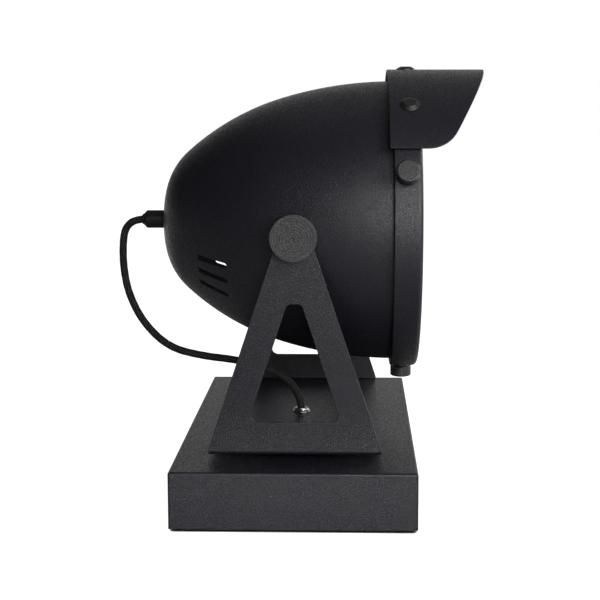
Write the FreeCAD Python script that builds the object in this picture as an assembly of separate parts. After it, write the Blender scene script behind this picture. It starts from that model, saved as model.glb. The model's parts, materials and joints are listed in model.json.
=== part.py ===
import FreeCAD, Part
import math
import os

"""Tabletop searchlight lamp: a spun steel head tilts in a folded yoke that pans on a box base.

Millimetres. Origin on the pan axis, level with the underside of the foot mat.
+X is the way the beam points, +Z is up, and the lamp's left side is +Y.
"""

Vector = FreeCAD.Vector
UP = Vector(0, 0, 1)
FORWARD = Vector(1, 0, 0)
LEFT = Vector(0, 1, 0)

# ---- fits shared by every sub-assembly
PIN_CLEARANCE = 0.05      # radial, between a pin and the hole it turns in
SCREW_CLEARANCE = 0.15    # radial, between a screw and a drilled hole
SEAT_GAP = 0.3            # between a turning part and the curved face it bears on
OVERCUT = 1.0             # how far a cutting tool runs past the face it cuts

# ---- base: folded sheet box, closed from below
BASE_LENGTH = 180.0
BASE_WIDTH = 280.0
BASE_HEIGHT = 44.0
BASE_SHEET = 1.5
BASE_FOLD_RADIUS = 1.8
SKIRT_LIFT = 1.2          # lower edge of the folded walls above the table
MAT_THICKNESS = 3.0       # rubber mat that the lamp stands on
MAT_INSET = 3.0           # mat's edges inside the bottom plate's
MAT_CORNER_RADIUS = 6.0
MAT_HOLE_MARGIN = 1.4     # round a bottom screw's head
BOTTOM_SHEET = 1.5
BOTTOM_PLAY = 0.5         # all round, between the bottom plate and the walls
TAB_SIZE = 22.0
TAB_SCREW_INSET = 11.0
TAB_SCREW_RADIUS = 2.0
TAB_SCREW_HEAD_RADIUS = 3.6
TAB_SCREW_HEAD_HEIGHT = 2.0
TAB_SCREW_PROUD = 1.5     # a screw's end above its tab

# ---- pan pivot: hollow threaded nipple that carries the head's cord into the base
SPACER_RADIUS = 32.0
SPACER_HEIGHT = 4.0
NIPPLE_RADIUS = 5.0
NIPPLE_BORE_RADIUS = 3.4
PAN_NUT_FLATS = 14.0
PAN_NUT_HEIGHT = 2.6
PAN_WASHER_RADIUS = 8.6
PAN_WASHER_THICKNESS = 0.8
LOCK_NUT_HEIGHT = 4.0
SPRING_WASHER_RADIUS = 10.0
SPRING_WASHER_THICKNESS = 1.6
NIPPLE_PROUD = 1.0        # beyond the nut at either end

# ---- yoke: one folded sheet, a plate and two A-shaped cheeks
YOKE_SHEET = 2.5
YOKE_FOLD_RADIUS = 3.5    # outside of the bend
YOKE_FOOT_LENGTH = 128.0
CHEEK_TOP_RADIUS = 11.0
CHEEK_SHOULDER = 4.0      # straight rise of the cheek's ends before the legs lean in
LEG_WIDTH = 21.6          # square to the leg
RAIL_HEIGHT = 24.8        # from the yoke's underside to the window
WINDOW_DROP = 50.0        # from the tilt axis down to the window
WINDOW_FOOT_RADIUS = 6.0
WINDOW_TOP_RADIUS = 4.0

# ---- head: spun bullet-shaped shell, placed from the tilt axis
HEAD_RADIUS = 112.6
HEAD_SHEET = 1.2
HEAD_DEPTH = 184.9        # rear face to the end of the curve
REAR_REACH = 109.9        # tilt axis back to the rear face
REAR_DISC_RADIUS = 15.0
SHOULDER_RADIUS = 55.0
SHOULDER_ANGLE = 48.0     # degrees turned by the rear shoulder
NECK_LENGTH = 17.0        # straight collar inside the front ring
SIDE_CLEARANCE = 6.2      # shell to cheek at the tilt axis

# ---- vents, three a side, in line with the beam
VENT_ANGLES = (19.0, 28.5, 38.5)   # degrees below the head's waist
VENT_CENTRE = 65.5        # behind the tilt axis
VENT_LENGTH = 29.5
VENT_WIDTH = 4.6
VENT_CUT_REACH = 7.0      # a slot's cutter, either side of the wall's outer face

# ---- front ring and its thumbscrews
RING_PROUD = 5.4          # ring's outside beyond the shell's neck
RING_LENGTH = 21.1
RING_SHEET = 1.5
RING_EDGE_RADIUS = 3.5
RING_PLAY = 0.4
LIP_COVER = 7.6           # lip over the mouth, inside the neck's outside
THUMB_SIDE_ANGLE = 68.0   # the side thumbscrews, clock angle from the top
THUMB_FROM_FRONT = 11.2   # ring's front face back to the screw's axis
THUMB_RADIUS = 8.5
THUMB_HEAD_HEIGHT = 8.3
THUMB_NECK_RADIUS = 5.6
THUMB_NECK_HEIGHT = 3.0
THUMB_EDGE_RADIUS = 2.2
THUMB_STUD_RADIUS = 2.5
RING_NUT_FLATS = 8.0
RING_NUT_HEIGHT = 4.0

# ---- visor over the upper part of the ring
VISOR_GAP = 2.5           # ring to visor, filled by the spacers
VISOR_SHEET = 1.5
VISOR_BACK_OVERHANG = 2.9
VISOR_REACH = 53.1        # past the ring's front, along the top
VISOR_HEIGHT_AT_SIDES = 63.7   # lower edge above the beam axis
VISOR_RAKE_ANGLE = 30.7   # degrees from upright, front edge seen from the side
VISOR_CORNER_RADIUS = 25.0
VISOR_SCREW_ANGLES = (-39.0, 0.0, 39.0)
VISOR_SCREW_FROM_FRONT = 8.7
VISOR_SCREW_RADIUS = 2.0
VISOR_DOME_RADIUS = 7.7
VISOR_DOME_HEIGHT = 2.6
VISOR_SPACER_RADIUS = 6.0
VISOR_NUT_FLATS = 7.0
VISOR_NUT_HEIGHT = 2.4

# ---- tilt pivot, the same on both sides
BOSS_RADIUS = 13.0
BOSS_NECK_RADIUS = 8.0
BOSS_NECK_DEPTH = 8.0     # inside the shell
FRICTION_WASHER_THICKNESS = 1.5
KNOB_RADIUS = 17.3
KNOB_THICKNESS = 12.5
KNOB_EDGE_RADIUS = 1.0
KNOB_WASHER_RADIUS = 12.0
KNOB_WASHER_THICKNESS = 1.5
STUD_RADIUS = 4.0
STUD_IN_KNOB = 7.5
SWING_CLEARANCE = 2.3     # lowest thumbscrew to the yoke's plate as the head tilts

# ---- cord gland, lampholder and bulb, along the beam axis from the rear face
GLAND_RADIUS = 7.3
GLAND_LENGTH = 17.0
GLAND_NOSE_RADIUS = 4.2
GLAND_NOSE_LENGTH = 3.4
GLAND_EDGE_RADIUS = 0.8
GLAND_BORE_RADIUS = 3.3
GLAND_SOCKET_DEPTH = 6.0
HOLDER_NUT_HEIGHT = 3.0
HOLDER_RADIUS = 20.0
HOLDER_WALL = 2.5
HOLDER_CAP_LENGTH = 18.0
HOLDER_BODY_LENGTH = 36.0
SOCKET_RADIUS = 14.2
SOCKET_SHEET = 0.5
SOCKET_LENGTH = 27.0
SOCKET_DISC_RADIUS = 16.0
SOCKET_DISC_THICKNESS = 4.0
BULB_CAP_RADIUS = 13.2
BULB_STANDOFF = 0.5       # glass in front of the lampholder's mouth
BULB_TIP_RADIUS = 4.5
BULB_TIP_LENGTH = 2.5
BULB_GLASS_RADIUS = 30.0
BULB_GLASS_LENGTH = 81.0
BULB_NECK_RADIUS = 15.5
BULB_COLLAR_LENGTH = 3.0
BULB_STEM_RADIUS = 5.0
BULB_WALL = 0.9

# ---- wiring inside the base
MAINS_FROM_CENTRE = 55.0  # entry behind the pan axis, in the left wall
MAINS_HEIGHT = 23.0
MAINS_BORE_RADIUS = 3.2
BUSHING_RADIUS = 6.0
BUSHING_FLANGE_RADIUS = 8.5
BUSHING_FLANGE_THICKNESS = 1.2
BUSHING_TAIL_LENGTH = 3.0
CLAMP_FROM_TAB = 10.0     # clamp's middle inside the corner tabs
CLAMP_LENGTH = 30.0
CLAMP_WIDTH = 9.0
CLAMP_HEIGHT = 12.0
CLAMP_GROOVE_RADIUS = 2.9
CLAMP_SCREW_SPACING = 20.0
BLOCK_LENGTH = 34.0
BLOCK_WIDTH = 20.0
BLOCK_HEIGHT = 15.0
BLOCK_FROM_CLAMP = 28.0
BLOCK_BEHIND_AXIS = 27.5
BLOCK_POLES = 3
BLOCK_POLE_PITCH = 10.0
BLOCK_WELL_RADIUS = 2.4
BLOCK_WELL_DEPTH = 7.0
BLOCK_WIRE_RADIUS = 1.6
BLOCK_WIRE_HEIGHT = 5.0
EARTH_FROM_WALL = 50.0
EARTH_AHEAD_OF_AXIS = 27.5
SMALL_SCREW_RADIUS = 1.5
SMALL_HEAD_RADIUS = 2.8
SMALL_HEAD_HEIGHT = 1.8
EARTH_NUT_FLATS = 7.0
EARTH_NUT_HEIGHT = 3.0

# ---- head cord: from the gland, down behind the head and into the pan nipple
CORD_RADIUS = 3.0
CORD_ARC_SHARE = 0.45     # of the shorter run, from a corner to its arc
CORD_ROUTE = (            # (forward, up), in the plane that halves the lamp
    (-126.0, 211.0),
    (-136.0, 211.0),
    (-144.5, 204.5),
    (-147.0, 192.0),
    (-147.0, 171.0),
    (-143.0, 148.5),
    (-131.0, 124.0),
    (-110.0, 103.5),
    (-82.0, 96.5),
    (-54.0, 93.5),
    (-26.0, 86.5),
    (-8.0, 74.5),
    (0.0, 58.5),
    (0.0, 48.5),
)

# ---- places that follow from the sizes above
SPACER_TOP_Z = BASE_HEIGHT + SPACER_HEIGHT
PLATE_TOP_Z = SPACER_TOP_Z + YOKE_SHEET
BOTTOM_TOP_Z = MAT_THICKNESS + BOTTOM_SHEET
INNER_HALF_LENGTH = BASE_LENGTH / 2 - BASE_SHEET
INNER_HALF_WIDTH = BASE_WIDTH / 2 - BASE_SHEET
REAR_X = -REAR_REACH
CURVE_END_X = REAR_X + HEAD_DEPTH
NECK_END_X = CURVE_END_X + NECK_LENGTH
RING_RADIUS = HEAD_RADIUS + RING_PROUD
LIP_RADIUS = HEAD_RADIUS - LIP_COVER
RING_FRONT_X = NECK_END_X + RING_SHEET
RING_BACK_X = RING_FRONT_X - RING_LENGTH
THUMB_X = RING_FRONT_X - THUMB_FROM_FRONT
THUMB_CLOCKS = {"bottom": 180.0, "left": THUMB_SIDE_ANGLE, "right": -THUMB_SIDE_ANGLE}
THUMB_REACH = RING_RADIUS + SEAT_GAP + THUMB_NECK_HEIGHT + THUMB_HEAD_HEIGHT
TILT_Z = PLATE_TOP_Z + math.hypot(THUMB_X + THUMB_RADIUS, THUMB_REACH) + SWING_CLEARANCE
TILT_CENTRE = Vector(0, 0, TILT_Z)
VISOR_INNER_RADIUS = RING_RADIUS + VISOR_GAP
VISOR_RADIUS = VISOR_INNER_RADIUS + VISOR_SHEET
VISOR_SCREW_X = RING_FRONT_X - VISOR_SCREW_FROM_FRONT


# ---------------------------------------------------------------- shared shapes

def cylinder(radius, start, end):
    """A round bar between two points."""
    along = end - start
    return Part.makeCylinder(radius, along.Length, start, along)


def tube(outer, inner, start, end):
    """A round bar with a bore right through it."""
    along = (end - start).normalize() * OVERCUT
    return cylinder(outer, start, end).cut(cylinder(inner, start - along, end + along))


def box(low, high):
    """A block given by its lowest and highest corners."""
    size = high - low
    return Part.makeBox(size.x, size.y, size.z, low)


def hex_nut(flats, bore, start, end):
    """A hexagonal nut between two points, with a plain bore."""
    along = end - start
    corners = [Vector(flats / math.sqrt(3), 0, 0)]
    turn = FreeCAD.Rotation(UP, 60)
    for _ in range(6):
        corners.append(turn.multVec(corners[-1]))
    nut = Part.Face(Part.makePolygon(corners)).extrude(UP * along.Length)
    nut = nut.cut(Part.makeCylinder(bore, along.Length + 2 * OVERCUT, UP * -OVERCUT))
    nut.Placement = FreeCAD.Placement(start, FreeCAD.Rotation(UP, along))
    return nut


def arc_edge(centre, radius, start_turn, end_turn):
    """An arc in the XZ plane; a turn is in degrees, 0 along +X and 90 along +Z."""
    def at(turn):
        return centre + Vector(math.cos(math.radians(turn)), 0, math.sin(math.radians(turn))) * radius
    return Part.Arc(at(start_turn), at((start_turn + end_turn) / 2), at(end_turn)).toShape()


def rounded_outline(corners):
    """A closed wire through (point, radius) corners, each rounded by its radius."""
    count = len(corners)
    edges = []
    ends = []
    for index, (point, radius) in enumerate(corners):
        back = (corners[index - 1][0] - point).normalize()
        ahead = (corners[(index + 1) % count][0] - point).normalize()
        if radius <= 0:
            ends.append((point, point))
            continue
        half = back.getAngle(ahead) / 2
        reach = radius / math.tan(half)
        middle = (back + ahead).normalize() * (radius / math.sin(half) - radius)
        first, last = point + back * reach, point + ahead * reach
        edges.append(Part.Arc(first, point + middle, last).toShape())
        ends.append((first, last))
    for index in range(count):
        start, finish = ends[index][1], ends[(index + 1) % count][0]
        if start.distanceToPoint(finish) > 1e-6:
            edges.append(Part.makeLine(start, finish))
    return Part.Wire(Part.__sortEdges__(edges))


def prism_across(wire, half_width):
    """A wire in the XZ plane made a solid that runs across the lamp."""
    wire.translate(LEFT * -half_width)
    return Part.Face(wire).extrude(LEFT * 2 * half_width)


def beam_revolve(corners):
    """A solid turned about the beam axis from (along, radius, corner radius) points."""
    points = [(Vector(along, 0, TILT_Z + radius), round_off) for along, radius, round_off in corners]
    return Part.Face(rounded_outline(points)).revolve(TILT_CENTRE, FORWARD, 360)


def beam_point(along):
    """The point of the beam axis that far in front of the tilt axis."""
    return TILT_CENTRE + FORWARD * along


def radial(shape, along, clock):
    """Move a shape built up the Z axis so that it stands out of the beam axis at a clock angle."""
    shape = shape.copy()
    shape.rotate(Vector(0, 0, 0), FORWARD, -clock)
    shape.translate(beam_point(along))
    return shape


def flat_seat(radius, half_width):
    """How far out a flat face that wide can sit inside a round wall."""
    return math.sqrt(radius ** 2 - half_width ** 2)


def small_screw(x, y, under_head_z, grip):
    """A pan-head screw with its head up and its end that far below the head."""
    head = cylinder(SMALL_HEAD_RADIUS, Vector(x, y, under_head_z),
                    Vector(x, y, under_head_z + SMALL_HEAD_HEIGHT))
    shank = cylinder(SMALL_SCREW_RADIUS, Vector(x, y, under_head_z - grip), Vector(x, y, under_head_z))
    return head.fuse(shank).removeSplitter()


# ---------------------------------------------------------------- base

def base_corners(inset):
    """The four points inside the base's corners, that far from the inner faces."""
    return [(side_x * (INNER_HALF_LENGTH - inset), side_y * (INNER_HALF_WIDTH - inset))
            for side_x in (-1, 1) for side_y in (-1, 1)]


def make_base_box():
    """Top and four walls of one sheet, with a screw tab folded in at each corner."""
    half_length, half_width = BASE_LENGTH / 2, BASE_WIDTH / 2
    outer = box(Vector(-half_length, -half_width, SKIRT_LIFT),
                Vector(half_length, half_width, BASE_HEIGHT))
    folds = [edge for edge in outer.Edges if edge.CenterOfMass.z > SKIRT_LIFT + OVERCUT]
    outer = outer.makeFillet(BASE_FOLD_RADIUS, folds)
    shell = outer.cut(box(Vector(-INNER_HALF_LENGTH, -INNER_HALF_WIDTH, SKIRT_LIFT - OVERCUT),
                          Vector(INNER_HALF_LENGTH, INNER_HALF_WIDTH, BASE_HEIGHT - BASE_SHEET)))
    tabs = []
    for x, y in base_corners(TAB_SIZE):
        corner = Vector(math.copysign(INNER_HALF_LENGTH, x), math.copysign(INNER_HALF_WIDTH, y), 0)
        low = Vector(min(x, corner.x), min(y, corner.y), BOTTOM_TOP_Z)
        high = Vector(max(x, corner.x), max(y, corner.y), BOTTOM_TOP_Z + BASE_SHEET)
        tabs.append(box(low, high))
    shell = shell.multiFuse(tabs)
    holes = [cylinder(TAB_SCREW_RADIUS + PIN_CLEARANCE, Vector(x, y, 0), Vector(x, y, BASE_HEIGHT / 2))
             for x, y in base_corners(TAB_SCREW_INSET)]
    holes.append(cylinder(NIPPLE_RADIUS + PIN_CLEARANCE, UP * BASE_HEIGHT / 2, UP * (BASE_HEIGHT + OVERCUT)))
    entry = Vector(-MAINS_FROM_CENTRE, half_width, MAINS_HEIGHT)
    holes.append(cylinder(BUSHING_RADIUS, entry - LEFT * (BASE_SHEET + OVERCUT), entry + LEFT * OVERCUT))
    return shell.cut(holes).removeSplitter()


def make_bottom_plate():
    """Loose plate inside the walls, under the tabs."""
    half_length, half_width = INNER_HALF_LENGTH - BOTTOM_PLAY, INNER_HALF_WIDTH - BOTTOM_PLAY
    plate = box(Vector(-half_length, -half_width, MAT_THICKNESS),
                Vector(half_length, half_width, BOTTOM_TOP_Z))
    above = UP * (BOTTOM_TOP_Z + OVERCUT)
    holes = [cylinder(TAB_SCREW_RADIUS + SCREW_CLEARANCE, Vector(x, y, 0), Vector(x, y, 0) + above)
             for x, y in base_corners(TAB_SCREW_INSET)]
    for x, y in clamp_screw_places() + [block_centre(), earth_place()]:
        holes.append(cylinder(SMALL_SCREW_RADIUS + PIN_CLEARANCE, Vector(x, y, 0), Vector(x, y, 0) + above))
    return plate.cut(holes)


def make_bottom_screws():
    """Four screws up through the bottom plate into the tabs."""
    screws = []
    for x, y in base_corners(TAB_SCREW_INSET):
        under_head = Vector(x, y, MAT_THICKNESS)
        head = cylinder(TAB_SCREW_HEAD_RADIUS, under_head - UP * TAB_SCREW_HEAD_HEIGHT, under_head)
        shank = cylinder(TAB_SCREW_RADIUS, under_head,
                         under_head + UP * (BOTTOM_SHEET + BASE_SHEET + TAB_SCREW_PROUD))
        screws.append(head.fuse(shank).removeSplitter())
    return Part.makeCompound(screws)


def make_foot_mat():
    """Rubber mat stuck under the bottom plate, with a hole round each screw's head."""
    half_length = INNER_HALF_LENGTH - BOTTOM_PLAY - MAT_INSET
    half_width = INNER_HALF_WIDTH - BOTTOM_PLAY - MAT_INSET
    mat = box(Vector(-half_length, -half_width, 0), Vector(half_length, half_width, MAT_THICKNESS))
    mat = mat.makeFillet(MAT_CORNER_RADIUS, [edge for edge in mat.Edges if edge.BoundBox.ZLength > 0])
    hole_radius = TAB_SCREW_HEAD_RADIUS + MAT_HOLE_MARGIN
    return mat.cut([cylinder(hole_radius, Vector(x, y, -OVERCUT), Vector(x, y, MAT_THICKNESS + OVERCUT))
                    for x, y in base_corners(TAB_SCREW_INSET)])


# ---------------------------------------------------------------- pan pivot

def nut_top_z():
    """Upper face of the nut that holds the yoke down."""
    return PLATE_TOP_Z + PAN_WASHER_THICKNESS + PAN_NUT_HEIGHT


def lock_nut_low_z():
    """Lower face of the nut inside the base."""
    return BASE_HEIGHT - BASE_SHEET - SPRING_WASHER_THICKNESS - LOCK_NUT_HEIGHT


def make_pan_spacer():
    """Disc that lifts the yoke clear of the base's top."""
    return tube(SPACER_RADIUS, NIPPLE_RADIUS + PIN_CLEARANCE, UP * BASE_HEIGHT, UP * SPACER_TOP_Z)


def make_pan_nipple():
    """Hollow threaded tube on the pan axis."""
    return tube(NIPPLE_RADIUS, NIPPLE_BORE_RADIUS, UP * (lock_nut_low_z() - NIPPLE_PROUD),
                UP * (nut_top_z() + NIPPLE_PROUD))


def make_pan_washer():
    """Thin plated washer on the yoke's plate."""
    return tube(PAN_WASHER_RADIUS, NIPPLE_RADIUS, UP * PLATE_TOP_Z, UP * (PLATE_TOP_Z + PAN_WASHER_THICKNESS))


def make_pan_top_nut():
    """Plated nut above the yoke's plate."""
    return hex_nut(PAN_NUT_FLATS, NIPPLE_RADIUS, UP * (PLATE_TOP_Z + PAN_WASHER_THICKNESS), UP * nut_top_z())


def make_pan_spring_washer():
    """Sprung washer under the base's top, which gives the pan its drag."""
    top = BASE_HEIGHT - BASE_SHEET
    return tube(SPRING_WASHER_RADIUS, NIPPLE_RADIUS, UP * (top - SPRING_WASHER_THICKNESS), UP * top)


def make_pan_lock_nut():
    """Nut inside the base."""
    return hex_nut(PAN_NUT_FLATS, NIPPLE_RADIUS, UP * lock_nut_low_z(),
                   UP * (lock_nut_low_z() + LOCK_NUT_HEIGHT))


# ---------------------------------------------------------------- head shell

def head_curve():
    """The shell's outer curve, rear to front, as (centre, radius, start turn, end turn) arcs.

    The rear shoulder is one arc. Two arcs that meet in line then carry its end to the
    straight neck, with equal tangent lengths.
    """
    shoulder_centre = Vector(REAR_X + SHOULDER_RADIUS, 0, TILT_Z + REAR_DISC_RADIUS)
    shoulder_end = 180 - SHOULDER_ANGLE
    turn = math.radians(shoulder_end)
    start = shoulder_centre + Vector(math.cos(turn), 0, math.sin(turn)) * SHOULDER_RADIUS
    heading = Vector(math.sin(turn), 0, -math.cos(turn))
    finish = Vector(CURVE_END_X, 0, TILT_Z + HEAD_RADIUS)
    span = finish - start
    both = heading + FORWARD
    spread = 1 - heading.dot(FORWARD)
    tangent = (math.sqrt(span.dot(both) ** 2 + 2 * spread * span.dot(span)) - span.dot(both)) / (2 * spread)
    middle = (finish - FORWARD * tangent) - (start + heading * tangent)
    middle_turn = 90 + math.degrees(math.atan2(middle.z, middle.x))
    flank_radius = tangent / math.tan(math.radians(shoulder_end - middle_turn) / 2)
    flare_radius = tangent / math.tan(math.radians(middle_turn - 90) / 2)
    inward = (shoulder_centre - start).normalize()
    return [
        (shoulder_centre, SHOULDER_RADIUS, 180, shoulder_end),
        (start + inward * flank_radius, flank_radius, shoulder_end, middle_turn),
        (finish - UP * flare_radius, flare_radius, middle_turn, 90),
    ]


def head_outline(inset):
    """Edges of the shell's profile from the axis at the rear to the neck's end, that far inside."""
    edges = [arc_edge(centre, radius - inset, first, last) for centre, radius, first, last in head_curve()]
    rear = Vector(REAR_X + inset, 0, TILT_Z)
    neck_start = Vector(CURVE_END_X, 0, TILT_Z + HEAD_RADIUS - inset)
    neck_end = Vector(NECK_END_X, 0, TILT_Z + HEAD_RADIUS - inset)
    return [Part.makeLine(rear, rear + UP * REAR_DISC_RADIUS)] + edges + [Part.makeLine(neck_start, neck_end)]


def head_radius_at(along):
    """Outer radius of the shell at a place along the beam axis."""
    for centre, radius, first, last in head_curve():
        if centre.x + radius * math.cos(math.radians(last)) >= along:
            return centre.z - TILT_Z + math.sqrt(radius ** 2 - (along - centre.x) ** 2)
    return HEAD_RADIUS


def head_solid(inset):
    """The shell's outside, or its inside, as a full solid."""
    edges = head_outline(inset)
    close = [Part.makeLine(Vector(NECK_END_X, 0, TILT_Z + HEAD_RADIUS - inset), beam_point(NECK_END_X)),
             Part.makeLine(beam_point(NECK_END_X), beam_point(REAR_X + inset))]
    return Part.Face(Part.Wire(Part.__sortEdges__(edges + close))).revolve(TILT_CENTRE, FORWARD, 360)


def make_vent_cutter():
    """One round-ended slot through the wall, square to it, built above the beam axis."""
    outer_radius = head_radius_at(-VENT_CENTRE)
    slope = math.degrees(math.atan2(
        head_radius_at(1 - VENT_CENTRE) - head_radius_at(-1 - VENT_CENTRE), 2))
    half, end = VENT_LENGTH / 2 - VENT_WIDTH / 2, VENT_WIDTH / 2
    outline = [Part.makeLine(Vector(-half, -end, 0), Vector(half, -end, 0)),
               Part.Arc(Vector(half, -end, 0), Vector(half + end, 0, 0), Vector(half, end, 0)).toShape(),
               Part.makeLine(Vector(half, end, 0), Vector(-half, end, 0)),
               Part.Arc(Vector(-half, end, 0), Vector(-half - end, 0, 0), Vector(-half, -end, 0)).toShape()]
    slot = Part.Face(Part.Wire(outline)).extrude(UP * 2 * VENT_CUT_REACH)
    slot.translate(UP * -VENT_CUT_REACH)
    slot.rotate(Vector(0, 0, 0), LEFT, -slope)
    slot.translate(UP * outer_radius)
    return slot


def make_head_shell():
    """Spun shell with its vents, pivot holes, thumbscrew holes and rear hole."""
    outer, inner = head_outline(0), head_outline(HEAD_SHEET)
    ends = [Part.makeLine(Vector(NECK_END_X, 0, TILT_Z + HEAD_RADIUS),
                          Vector(NECK_END_X, 0, TILT_Z + HEAD_RADIUS - HEAD_SHEET)),
            Part.makeLine(beam_point(REAR_X), beam_point(REAR_X + HEAD_SHEET))]
    shell = Part.Face(Part.Wire(Part.__sortEdges__(outer + inner + ends))).revolve(TILT_CENTRE, FORWARD, 360)
    cutters = [cylinder(NIPPLE_RADIUS + PIN_CLEARANCE, beam_point(REAR_X - OVERCUT),
                        beam_point(REAR_X + HEAD_SHEET + OVERCUT))]
    slot = make_vent_cutter()
    for below in VENT_ANGLES:
        cutters.append(radial(slot, -VENT_CENTRE, 90 + below))
        cutters.append(radial(slot, -VENT_CENTRE, -90 - below))
    for clock in THUMB_CLOCKS.values():
        hole = cylinder(THUMB_STUD_RADIUS + PIN_CLEARANCE, UP * (HEAD_RADIUS - HEAD_SHEET - OVERCUT),
                        UP * (HEAD_RADIUS + OVERCUT))
        cutters.append(radial(hole, THUMB_X, clock))
    past = LEFT * (HEAD_RADIUS + OVERCUT)
    cutters.append(cylinder(BOSS_NECK_RADIUS, TILT_CENTRE - past, TILT_CENTRE + past))
    return shell.cut(cutters)


# ---------------------------------------------------------------- yoke

def cheek_inner_y():
    """Inner face of a cheek, from the lamp's middle plane."""
    return head_radius_at(0) + SIDE_CLEARANCE


def cheek_outer_y():
    """Outer face of a cheek."""
    return cheek_inner_y() + YOKE_SHEET


def leg_lean():
    """Angle of a leg's edges from upright, so that they run on to the rounded top."""
    shoulder_z = SPACER_TOP_Z + CHEEK_SHOULDER
    rise, half = TILT_Z - shoulder_z, YOKE_FOOT_LENGTH / 2
    reach = math.hypot(rise, half)
    return math.atan2(half, rise) - math.asin(CHEEK_TOP_RADIUS / reach)


def cheek_outline():
    """A-shaped outside of a cheek: upright shoulders, leaning legs and a round top."""
    half = YOKE_FOOT_LENGTH / 2
    low, shoulder = SPACER_TOP_Z, SPACER_TOP_Z + CHEEK_SHOULDER
    lean = leg_lean()
    touch = Vector(math.cos(lean), 0, math.sin(lean)) * CHEEK_TOP_RADIUS
    right = TILT_CENTRE + touch
    left = TILT_CENTRE + Vector(-touch.x, 0, touch.z)
    top = TILT_CENTRE + UP * CHEEK_TOP_RADIUS
    return Part.Wire([
        Part.makeLine(Vector(-half, 0, low), Vector(half, 0, low)),
        Part.makeLine(Vector(half, 0, low), Vector(half, 0, shoulder)),
        Part.makeLine(Vector(half, 0, shoulder), right),
        Part.Arc(right, top, left).toShape(),
        Part.makeLine(left, Vector(-half, 0, shoulder)),
        Part.makeLine(Vector(-half, 0, shoulder), Vector(-half, 0, low)),
    ])


def window_half_width(z):
    """Half the window's width at a height: the leg's outer edge less the leg."""
    lean = leg_lean()
    outer = YOKE_FOOT_LENGTH / 2 - (z - SPACER_TOP_Z - CHEEK_SHOULDER) * math.tan(lean)
    return outer - LEG_WIDTH / math.cos(lean)


def window_outline():
    """Rounded triangle left between the legs and the foot rail."""
    low, high = SPACER_TOP_Z + RAIL_HEIGHT, TILT_Z - WINDOW_DROP
    foot, head = window_half_width(low), window_half_width(high)
    return rounded_outline([
        (Vector(-foot, 0, low), WINDOW_FOOT_RADIUS),
        (Vector(foot, 0, low), WINDOW_FOOT_RADIUS),
        (Vector(head, 0, high), WINDOW_TOP_RADIUS),
        (Vector(-head, 0, high), WINDOW_TOP_RADIUS),
    ])


def make_yoke():
    """Plate and cheeks of one sheet: a U channel trimmed to the cheek outline."""
    outer_y, inner_y = cheek_outer_y(), cheek_inner_y()
    top = TILT_Z + CHEEK_TOP_RADIUS + OVERCUT
    half = YOKE_FOOT_LENGTH / 2
    channel = box(Vector(-half, -outer_y, SPACER_TOP_Z), Vector(half, outer_y, top))
    folds = [edge for edge in channel.Edges
             if edge.BoundBox.XLength > half and edge.BoundBox.ZMax < PLATE_TOP_Z]
    channel = channel.makeFillet(YOKE_FOLD_RADIUS, folds)
    hollow = box(Vector(-half - OVERCUT, -inner_y, PLATE_TOP_Z),
                 Vector(half + OVERCUT, inner_y, top + OVERCUT))
    inner_fold = YOKE_FOLD_RADIUS - YOKE_SHEET
    if inner_fold > 0:
        folds = [edge for edge in hollow.Edges
                 if edge.BoundBox.XLength > half and edge.BoundBox.ZMax < PLATE_TOP_Z + OVERCUT]
        hollow = hollow.makeFillet(inner_fold, folds)
    yoke = channel.cut(hollow).common(prism_across(cheek_outline(), outer_y + OVERCUT))
    cutters = [prism_across(window_outline(), outer_y + OVERCUT),
               cylinder(STUD_RADIUS + PIN_CLEARANCE, TILT_CENTRE - LEFT * (outer_y + OVERCUT),
                        TILT_CENTRE + LEFT * (outer_y + OVERCUT)),
               cylinder(NIPPLE_RADIUS + PIN_CLEARANCE, UP * BASE_HEIGHT, UP * (PLATE_TOP_Z + OVERCUT))]
    return yoke.cut(cutters)


def make_knob_washers():
    """A plain washer between each cheek and its knob."""
    washers = []
    for side in (-1, 1):
        start = TILT_CENTRE + LEFT * side * cheek_outer_y()
        washers.append(tube(KNOB_WASHER_RADIUS, STUD_RADIUS + PIN_CLEARANCE, start,
                            start + LEFT * side * KNOB_WASHER_THICKNESS))
    return Part.makeCompound(washers)


# ---------------------------------------------------------------- tilt pivot

def make_pivot_boss(side):
    """Threaded boss: a collar saddled on the shell, with a neck through its wall."""
    face = cheek_inner_y() - FRICTION_WASHER_THICKNESS
    inside = head_radius_at(0) - BOSS_NECK_DEPTH
    collar = cylinder(BOSS_RADIUS, TILT_CENTRE + LEFT * side * inside, TILT_CENTRE + LEFT * side * face)
    collar = collar.cut(head_solid(0))
    neck = cylinder(BOSS_NECK_RADIUS, TILT_CENTRE + LEFT * side * inside, TILT_CENTRE + LEFT * side * face)
    bore = cylinder(STUD_RADIUS + PIN_CLEARANCE, TILT_CENTRE, TILT_CENTRE + LEFT * side * (face + OVERCUT))
    return collar.fuse(neck).removeSplitter().cut(bore)


def make_friction_washers():
    """A fibre washer between each boss and its cheek."""
    washers = []
    for side in (-1, 1):
        end = TILT_CENTRE + LEFT * side * cheek_inner_y()
        washers.append(tube(BOSS_RADIUS, STUD_RADIUS + PIN_CLEARANCE,
                            end - LEFT * side * FRICTION_WASHER_THICKNESS, end))
    return Part.makeCompound(washers)


def knob_face_y():
    """Underside of a clamp knob."""
    return cheek_outer_y() + KNOB_WASHER_THICKNESS


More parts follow.
